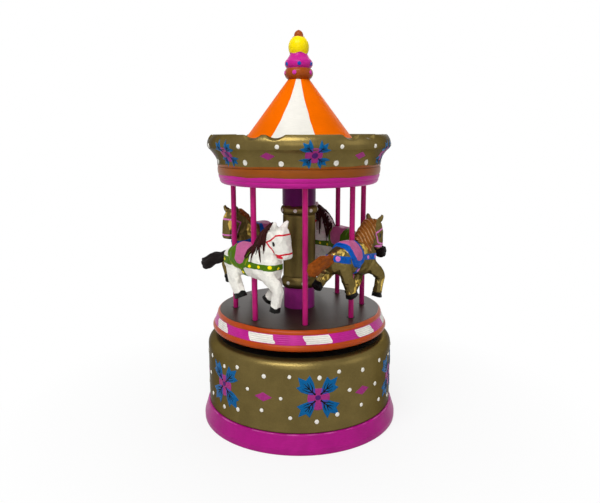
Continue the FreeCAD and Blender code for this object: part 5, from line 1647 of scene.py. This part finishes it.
    def carve(self) -> tuple[Array, Array, list]:
        """Joins the limbs into one skin by a voxel remesh and eases the corners as sanding does.

        Returns:
            Vertices in mm, their normals and the faces.
        """
        body = (self.torso, self.neck, self.head, self.crest, self.seat, self.ear)
        solids = [limb.shell() for limb in (*body, *self.legs())]
        solids += [self.ear.shell(mirrored=True)] + [self.hoof(leg).shell() for leg in self.legs()]
        starts = np.cumsum([0] + [len(points) for points, _ in solids])
        faces = [[i + int(start) for i in face]
                 for (_, group), start in zip(solids, starts) for face in group]
        mesh = bpy.data.meshes.new("horse_blank")
        mesh.from_pydata(np.vstack([points for points, _ in solids]).tolist(), [], faces)
        blank = bpy.data.objects.new("horse_blank", mesh)
        bpy.context.scene.collection.objects.link(blank)
        skin = blank.modifiers.new("skin", "REMESH")
        skin.mode, skin.voxel_size = "VOXEL", self.voxel
        sanding = blank.modifiers.new("sanding", "SMOOTH")
        sanding.factor, sanding.iterations = self.sand_share, self.sand_passes
        graph = bpy.context.evaluated_depsgraph_get()
        carved = bpy.data.meshes.new_from_object(blank.evaluated_get(graph))
        points = np.empty(len(carved.vertices) * 3)
        normals = np.empty(len(carved.vertices) * 3)
        carved.vertices.foreach_get("co", points)
        carved.vertices.foreach_get("normal", normals)
        corners = [list(face.vertices) for face in carved.polygons]
        bpy.data.objects.remove(blank)
        bpy.data.meshes.remove(mesh)
        bpy.data.meshes.remove(carved)
        points, normals = points.reshape(-1, 3), normals.reshape(-1, 3)
        return points + normals * self.knife_cuts(points, normals)[:, None], normals, corners

    def knife_cuts(self, points: Array, normals: Array) -> Array:
        """Cuts the skin into the small planes that a knife leaves.

        Seeded points of the skin are the middles of cuts. Each cut is the tangent plane there, sunk by the
        cut's depth, and takes off what stands above it within its width. The deepest cut counts.

        Args:
            points: carved vertices.
            normals: their outward directions.
        Returns:
            How far each vertex moves along its normal, in mm.
        """
        chance = np.random.default_rng(29)
        picked = chance.choice(len(points), self.cuts, replace=False)
        taken = np.zeros(len(points))
        for middle, way in zip(points[picked], normals[picked]):
            off = points - middle
            above = np.clip(off @ way + self.cut_depth, 0, self.cut_most * self.cut_depth)
            reach = ramp(-np.linalg.norm(off, axis=1), -self.cut_mm, -self.cut_flat * self.cut_mm)
            taken = np.maximum(taken, above * reach * (normals @ way > self.cut_facing))
        return -taken

    def hooves(self, points: Array) -> Array:
        """Distance in mm below the ankle line of the nearest leg.

        Args:
            points: carved vertices, level on the bench.
        Returns:
            The field, positive on the hooves.
        """
        hoof = np.full(len(points), -9.0)
        for leg in self.legs():
            way = leg.last_way()
            off = points - leg.rows[-1][0]
            along = off @ way
            beside = self.hoof_reach - np.linalg.norm(off - along[:, None] * way, axis=1)
            edge = along + self.hoof_over + 0.3 * np.sin(off @ [0.8, 1.3, 0.5])
            hoof = np.maximum(hoof, np.minimum(edge, beside))
        return hoof

    def gilding(self, points: Array) -> dict[str, Array]:
        """Fields of the gold horses alone: the carved mane slab and the bright gold patches, partly rubbed
        gold and partly painted highlight.

        Args:
            points: carved vertices, level on the bench.
        Returns:
            The mane's and the bright gold patches' distances in mm.
        """
        flat = points[:, [0, 2]]
        slab = polygon_field(flat, self.mane_slab)
        comb = line_field(flat, self.mane_comb, self.comb_half)
        mane = np.where(points[:, 1] < self.mane_side, slab, np.minimum(slab, comb))
        rubs_and_sheens = np.array(self.rubs_and_sheens)
        off = (points[:, None, :] - rubs_and_sheens[:, :3]) / rubs_and_sheens[:, 3:]
        rub_and_sheen = (1.0 - np.linalg.norm(off, axis=-1)).max(1) * self.rub_mm
        chance = np.random.default_rng(5)
        ripple = sum(np.sin(points @ chance.normal(0, pitch, 3) + chance.uniform(0, 6))
                     for pitch in (1.2, 1.2, 1.2, 2.6, 2.6, 2.6)) * 0.17
        return {"mane": mane, "rub_and_sheen": rub_and_sheen + ripple}

    def locks(self, points: Array, mane: Array) -> tuple[Array, Array]:
        """Carves the gold mane's locks, which run down and back round the neck, and paints a pale line on
        each lock's ridge that is partly tan paint and partly painted highlight.

        A lock is one whole step of (distance across the lay) / lock_mm, with a slow sway along it. The
        distance is taken in a frame bent round the neck, so the locks keep their slope on both sides.

        Args:
            points: carved vertices, level on the bench.
            mane: the mane's field in mm.
        Returns:
            The relief in mm, and the field of the paler line along each lock's ridge, partly painted
            highlight.
        """
        across, down = self.lock_lay
        round_neck = self.neck_round[0] * points[:, 0] + self.neck_round[1] * np.abs(points[:, 1])
        lay = down * round_neck - across * points[:, 2]
        lock = (across * round_neck + down * points[:, 2] + 0.35 * np.sin(lay * 0.45)) / self.lock_mm
        relief = ramp(mane, -0.2, 0.5) * (0.5 + 0.32 * np.cos(2 * np.pi * lock))
        ridge = self.lock_mm * np.abs(lock - np.round(lock))
        return relief, np.minimum(self.lock_line_and_highlight - ridge + 0.1 * np.sin(lay * 0.8), mane - 0.5)

    def padding(self, fields: dict[str, Array], hoof: Array) -> Array:
        """Relief of the harness and the line cut above each hoof.

        Args:
            fields: the harness's fields in mm.
            hoof: the hooves' field in mm.
        Returns:
            How far each vertex moves along its normal, in mm.
        """
        relief = (self.blanket_lift * ramp(fields["blanket"], -0.1, 0.5)
                  + self.seat_lift * ramp(fields["seat"], -0.1, 0.7))
        relief += self.strap_lift * ramp(fields["straps"], -0.1, 0.4) * (fields["blanket"] < 0)
        relief += (self.dot_lift * ramp(fields["dots"], -0.1, 0.5)
                   - self.ankle_cut * ramp(0.5 - np.abs(hoof), 0.0, 0.5))
        return relief

    def build(self) -> None:
        """Carves the horse once and dresses four of them."""
        points, normals, faces = self.carve()
        hoof = self.hooves(points)
        gilt = self.gilding(points)
        slab, gilt["lock"] = self.locks(points, gilt["mane"])
        white, gold = WHITE_HORSE_PAINT.make(), GOLD_HORSE_PAINT.make()
        for stance in self.stances:
            is_gold = stance.breed is Breed.GOLD
            paint = gold if is_gold else white
            fields = (GOLD_HARNESS if is_gold else WHITE_HARNESS).fields(points)
            relief = self.padding(fields, hoof) + (slab if is_gold else 0)
            skin = stance.pose(points + normals * relief[:, None])
            marks = {**fields, "hoof": hoof, **(gilt if is_gold else {})}
            made = new_piece(f"painted_{stance.name}", skin, faces, paint, marks)
            settle(made, "carousel", f"{stance.breed.value}_horse_paint", stance.name)
            self.hair(stance)

    def hair(self, stance: Stance) -> None:
        """Makes one horse's grooved tail and, on a white horse, its mane of dark strands.

        Args:
            stance: how the horse stands.
        """
        is_gold = stance.breed is Breed.GOLD
        paint = hair_paint(Shade.CHESTNUT if is_gold else Shade.SOOT).shared()
        points, faces = self.tail.shell(around=self.tail_around, groove=self.tail_groove)
        ahead = points[:, 0]
        points[:, 2] += (self.tail_wave * np.sin((ahead + self.tail_start) * self.tail_beat)
                         * ramp(-ahead, *self.tail_free))
        slot = "brown_tail_paint" if is_gold else "dark_tail_paint"
        tail = new_piece(f"carved_{stance.name}_tail", stance.pose(points, True), faces, paint)
        settle(tail, "carousel", slot, f"{stance.name}_tail")
        if not is_gold:
            points, faces = self.strands(stance.step)
            paint = hair_paint(Shade.UMBER).shared()
            mane = new_piece(f"{stance.name}_mane", stance.pose(points), faces, paint)
            settle(mane, "carousel", "dark_tail_paint")

    @staticmethod
    def tail_groove(share: Array, angle: Array) -> Array:
        """Share of the tail's thickness cut away: six grooves that wind slowly, waves and a closed end.

        Args:
            share: how far along the tail, from 0 to 1.
            angle: radians round the section.
        Returns:
            The share lost there.
        """
        winding = 0.2 * (0.5 + 0.5 * np.cos(6 * angle + 4.0 * share)) ** 2 * ramp(share, 0.1, 0.3)
        waves = -0.07 * np.sin(2 * np.pi * (1.7 * share + 0.15)) * ramp(share, 0.2, 0.4)
        return winding + waves + 0.25 * ramp(share, 0.95, 1.0)

    def flank(self, ahead: Array, up: Array) -> Array:
        """Half width of the neck, head and body at points of the side view.

        Args:
            ahead: distances ahead.
            up: heights.
        Returns:
            wide (1 - |h / tall| ^ squareness) ^ (1 / squareness) of the widest section that passes there.
        """
        best = np.zeros(ahead.shape)
        for limb in (self.torso, self.neck, self.head, self.crest, self.seat):
            line = limb.spline(12)
            way, high = limb.axes(line)
            off = np.stack([ahead, 0 * ahead, up], -1)[..., None, :] - line[:, :3]
            along = np.abs((off * way).sum(-1))
            share = np.clip(np.abs((off * high).sum(-1)) / line[:, 3], 0, 1)
            wide = line[:, 4] * (1 - share ** limb.squareness) ** (1 / limb.squareness)
            best = np.maximum(best, np.where(along < 0.7, wide, 0).max(-1))
        return best

    def strands(self, seed: int) -> tuple[Array, list]:
        """Tapered locks that fall from the crest down both sides of the neck.

        Each lock is a round section of radius r (1 - 0.7 share ^ 3) carried along a path that starts on the
        crest, falls and drifts back, and lies on the flank.

        Args:
            seed: seed of the locks' differences.
        Returns:
            Vertices and faces.
        """
        chance = np.random.default_rng(90 + seed)
        count, steps, around = self.strand_count, 12, 6
        start = np.sort(chance.uniform(0, 1, count))
        side = np.where(chance.uniform(0, 1, count) < 0.6, -1.0, 1.0)
        knots = np.array(self.strand_roots)
        along = np.linspace(0, 1, len(knots))
        root = np.stack([np.interp(start, along, knots[:, k]) for k in (0, 1)], -1)
        length = chance.uniform(*self.strand_mm, count) * (0.75 + 0.4 * np.sin(np.pi * start))
        lean = chance.normal(-0.20, 0.17, count) + 0.15 * (start - 0.5)
        share = np.linspace(0, 1, steps)
        sway = chance.normal(0, 0.5, count)
        ahead = root[:, :1] + (lean * length)[:, None] * share + sway[:, None] * np.sin(np.pi * share)
        up = root[:, 1:] - length[:, None] * share
        thick = chance.uniform(*self.strand_radii, count)[:, None] * (1 - 0.7 * share ** 3)
        beside = side[:, None] * np.maximum(self.flank(ahead, up) + 0.25 * thick, 0.5 * share)
        path = np.stack([ahead, beside, up], -1)
        way = unit(np.gradient(path, axis=1))
        first = unit(np.cross(way, [1.0, 0.0, 0.0]))
        second = np.cross(way, first)
        angle = np.arange(around) * 2 * np.pi / around
        section = first[:, :, None] * np.cos(angle)[:, None] + second[:, :, None] * np.sin(angle)[:, None]
        points = (path[:, :, None] + thick[..., None, None] * section).reshape(-1, 3)
        base = (np.arange(count) * steps * around)[:, None]
        ends = np.arange(around)
        faces = (quads(steps, around)[None] + base[:, None]).reshape(-1, 4).tolist()
        faces += (base + ends[::-1]).tolist() + (base + (steps - 1) * around + ends).tolist()
        return points, faces


@dataclass
class Movement:
    """Clockwork under the drum: its CAD solids stay and get their metals."""

    finishes: tuple[tuple[str, SawnPly | WorkedMetal], ...] = (
        ("plywood", SawnPly("birch_plywood_sawn_and_bare")),
        ("screw_steel", WorkedMetal("zinc_plated_screw_steel", Shade.STEEL, 0.35)),
        ("spring_steel", WorkedMetal("blued_spring_steel_ground", Shade.SPRING, 0.28)),
        ("movement_brass", WorkedMetal("brass_turned_and_lacquered", Shade.BRASS, 0.25)),
        ("movement_zinc", WorkedMetal("zinc_die_cast_and_tumbled", Shade.ZINC, 0.45, 0.5)),
        ("bracket_steel", WorkedMetal("mild_steel_stamped_and_oiled", Shade.STEEL, 0.4)))

    def build(self, frame: dict) -> None:
        """Dresses every CAD node that no painted piece stands for.

        Args:
            frame: the loaded CAD frame.
        """
        made = {slot: finish.make() for slot, finish in self.finishes}
        slots = {entry["node"]: entry["material_slot"] for entry in frame["record"]["subparts"]}
        for name, piece in frame["nodes"].items():
            if piece.hide_render:
                continue
            piece.data.materials.clear()
            piece.data.materials.append(made[slots[name]])
            LOG.info("%s: %s", name, slots[name])


@dataclass(frozen=True)
class Softbox:
    """One oblong studio lamp: its place and size in mm, and its power."""

    name: str
    spot: Triple
    size: Pair
    watts: float


@dataclass
class Studio:
    """Camera at the photograph's place, a pale floor and soft light."""

    lens: float = 36.88
    sensor: float = 36.0
    spot: Triple = (0.0, -308.6, 146.2)
    dip: float = 11.02
    roll: float = 0.13
    shift: float = 0.0018
    clip: Pair = (0.01, 50.0)
    aim_level: float = 90.0
    fill: float = 0.17
    floor_half: float = 6000.0
    floor_level: float = -0.05
    shadow_reach: Pair = (0.05, 0.16)
    softboxes: tuple[Softbox, ...] = (
        Softbox("key_softbox", (-210, -530, 830), (660, 360), 6.6),
        Softbox("front_softbox", (-60, -760, 330), (520, 300), 0.8),
        Softbox("top_softbox", (60, 160, 900), (500, 500), 0.9),
        Softbox("right_softbox", (720, -260, 380), (420, 420), 0.6),
        Softbox("back_softbox", (160, 760, 520), (600, 400), 1.2))

    def build(self) -> None:
        """Makes the camera, the floor, the lamps and the world."""
        scene = bpy.context.scene
        data = bpy.data.cameras.new("photo_camera")
        data.lens, data.sensor_width, data.shift_x = self.lens, self.sensor, self.shift
        data.clip_start, data.clip_end = self.clip
        camera = bpy.data.objects.new("photo_camera", data)
        camera.location = [s * MM for s in self.spot]
        camera.rotation_euler = Euler((np.radians(90 - self.dip), np.radians(self.roll), 0.0))
        scene.collection.objects.link(camera)
        scene.camera = camera
        scene.view_settings.view_transform = "Standard"
        self.floor()
        for softbox in self.softboxes:
            self.hang(softbox)
        self.world()

    def hang(self, softbox: Softbox) -> None:
        """Hangs one softbox so that it faces the middle of the carousel.

        Args:
            softbox: the lamp to hang.
        """
        data = bpy.data.lights.new(softbox.name, "AREA")
        data.shape, data.energy = "RECTANGLE", softbox.watts
        data.size, data.size_y = (side * MM for side in softbox.size)
        lamp = bpy.data.objects.new(softbox.name, data)
        lamp.location = [s * MM for s in softbox.spot]
        away = lamp.location.copy()
        away.z -= self.aim_level * MM
        lamp.rotation_euler = away.to_track_quat("Z", "Y").to_euler()
        bpy.context.scene.collection.objects.link(lamp)

    @staticmethod
    def shown_white(tree: bpy.types.NodeTree) -> bpy.types.NodeSocket:
        """Marks the rays that have to meet plain white.

        Args:
            tree: the node tree to add to.
        Returns:
            A socket that is 1 for camera, glossy and transmission rays.
        """
        rays = add_node(tree, "ShaderNodeLightPath")
        seen = add_node(tree, "ShaderNodeMath", {
            0: rays.outputs["Is Camera Ray"], 1: rays.outputs["Is Glossy Ray"]}, operation="MAXIMUM")
        through = add_node(tree, "ShaderNodeMath", {
            0: seen.outputs[0], 1: rays.outputs["Is Transmission Ray"]}, operation="MAXIMUM")
        return through.outputs[0]

    def floor(self) -> None:
        """Lays matt paper: nearly white to the eye, a little less so near the foot to keep its shadow."""
        material, tree = new_material("matt_white_studio_paper")
        place = add_node(tree, "ShaderNodeTexCoord").outputs["Object"]
        far = add_node(tree, "ShaderNodeVectorMath", {0: place}, operation="LENGTH")
        near, beyond = self.shadow_reach
        fade = add_node(tree, "ShaderNodeMapRange", {
            "Value": far.outputs["Value"], "From Min": near, "From Max": beyond, "To Min": 0.8})
        share = add_node(tree, "ShaderNodeMath", {
            0: self.shown_white(tree), 1: fade.outputs[0]}, operation="MULTIPLY")
        paper = add_node(tree, "ShaderNodeBsdfDiffuse", {"Color": (0.85, 0.85, 0.85, 1.0)})
        white = add_node(tree, "ShaderNodeEmission", {"Color": (1.0, 1.0, 1.0, 1.0), "Strength": 1.0})
        mixed = add_node(tree, "ShaderNodeMixShader", {
            0: share.outputs[0], 1: paper.outputs[0], 2: white.outputs[0]})
        add_node(tree, "ShaderNodeOutputMaterial", {"Surface": mixed.outputs[0]})
        corners = np.array([(-1, -1, 0), (1, -1, 0), (1, 1, 0), (-1, 1, 0)]) * self.floor_half
        corners[:, 2] = self.floor_level
        new_piece("studio_floor", corners, [[0, 1, 2, 3]], material)

    def world(self) -> None:
        """Fills the room with even soft light and shows white behind the carousel."""
        world = bpy.data.worlds.new("studio_room")
        bpy.context.scene.world = world
        world.use_nodes = True
        tree = world.node_tree
        tree.nodes.clear()
        room, white = (add_node(tree, "ShaderNodeBackground", {
            "Color": (1.0, 1.0, 1.0, 1.0), "Strength": strength}) for strength in (self.fill, 1.0))
        mixed = add_node(tree, "ShaderNodeMixShader", {
            0: self.shown_white(tree), 1: room.outputs[0], 2: white.outputs[0]})
        add_node(tree, "ShaderNodeOutputWorld", {"Surface": mixed.outputs[0]})


def main() -> None:
    logging.basicConfig(level=logging.INFO, format="%(name)s %(message)s")
    for leftover in list(bpy.data.objects):
        bpy.data.objects.remove(leftover)
    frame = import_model()
    Studio().build()
    Base().build()
    Turntable().build()
    Column().build()
    Canopy().build()
    Stable().build()
    Movement().build(frame)
    bpy.context.view_layer.update()


if __name__ == "__main__":
    main()
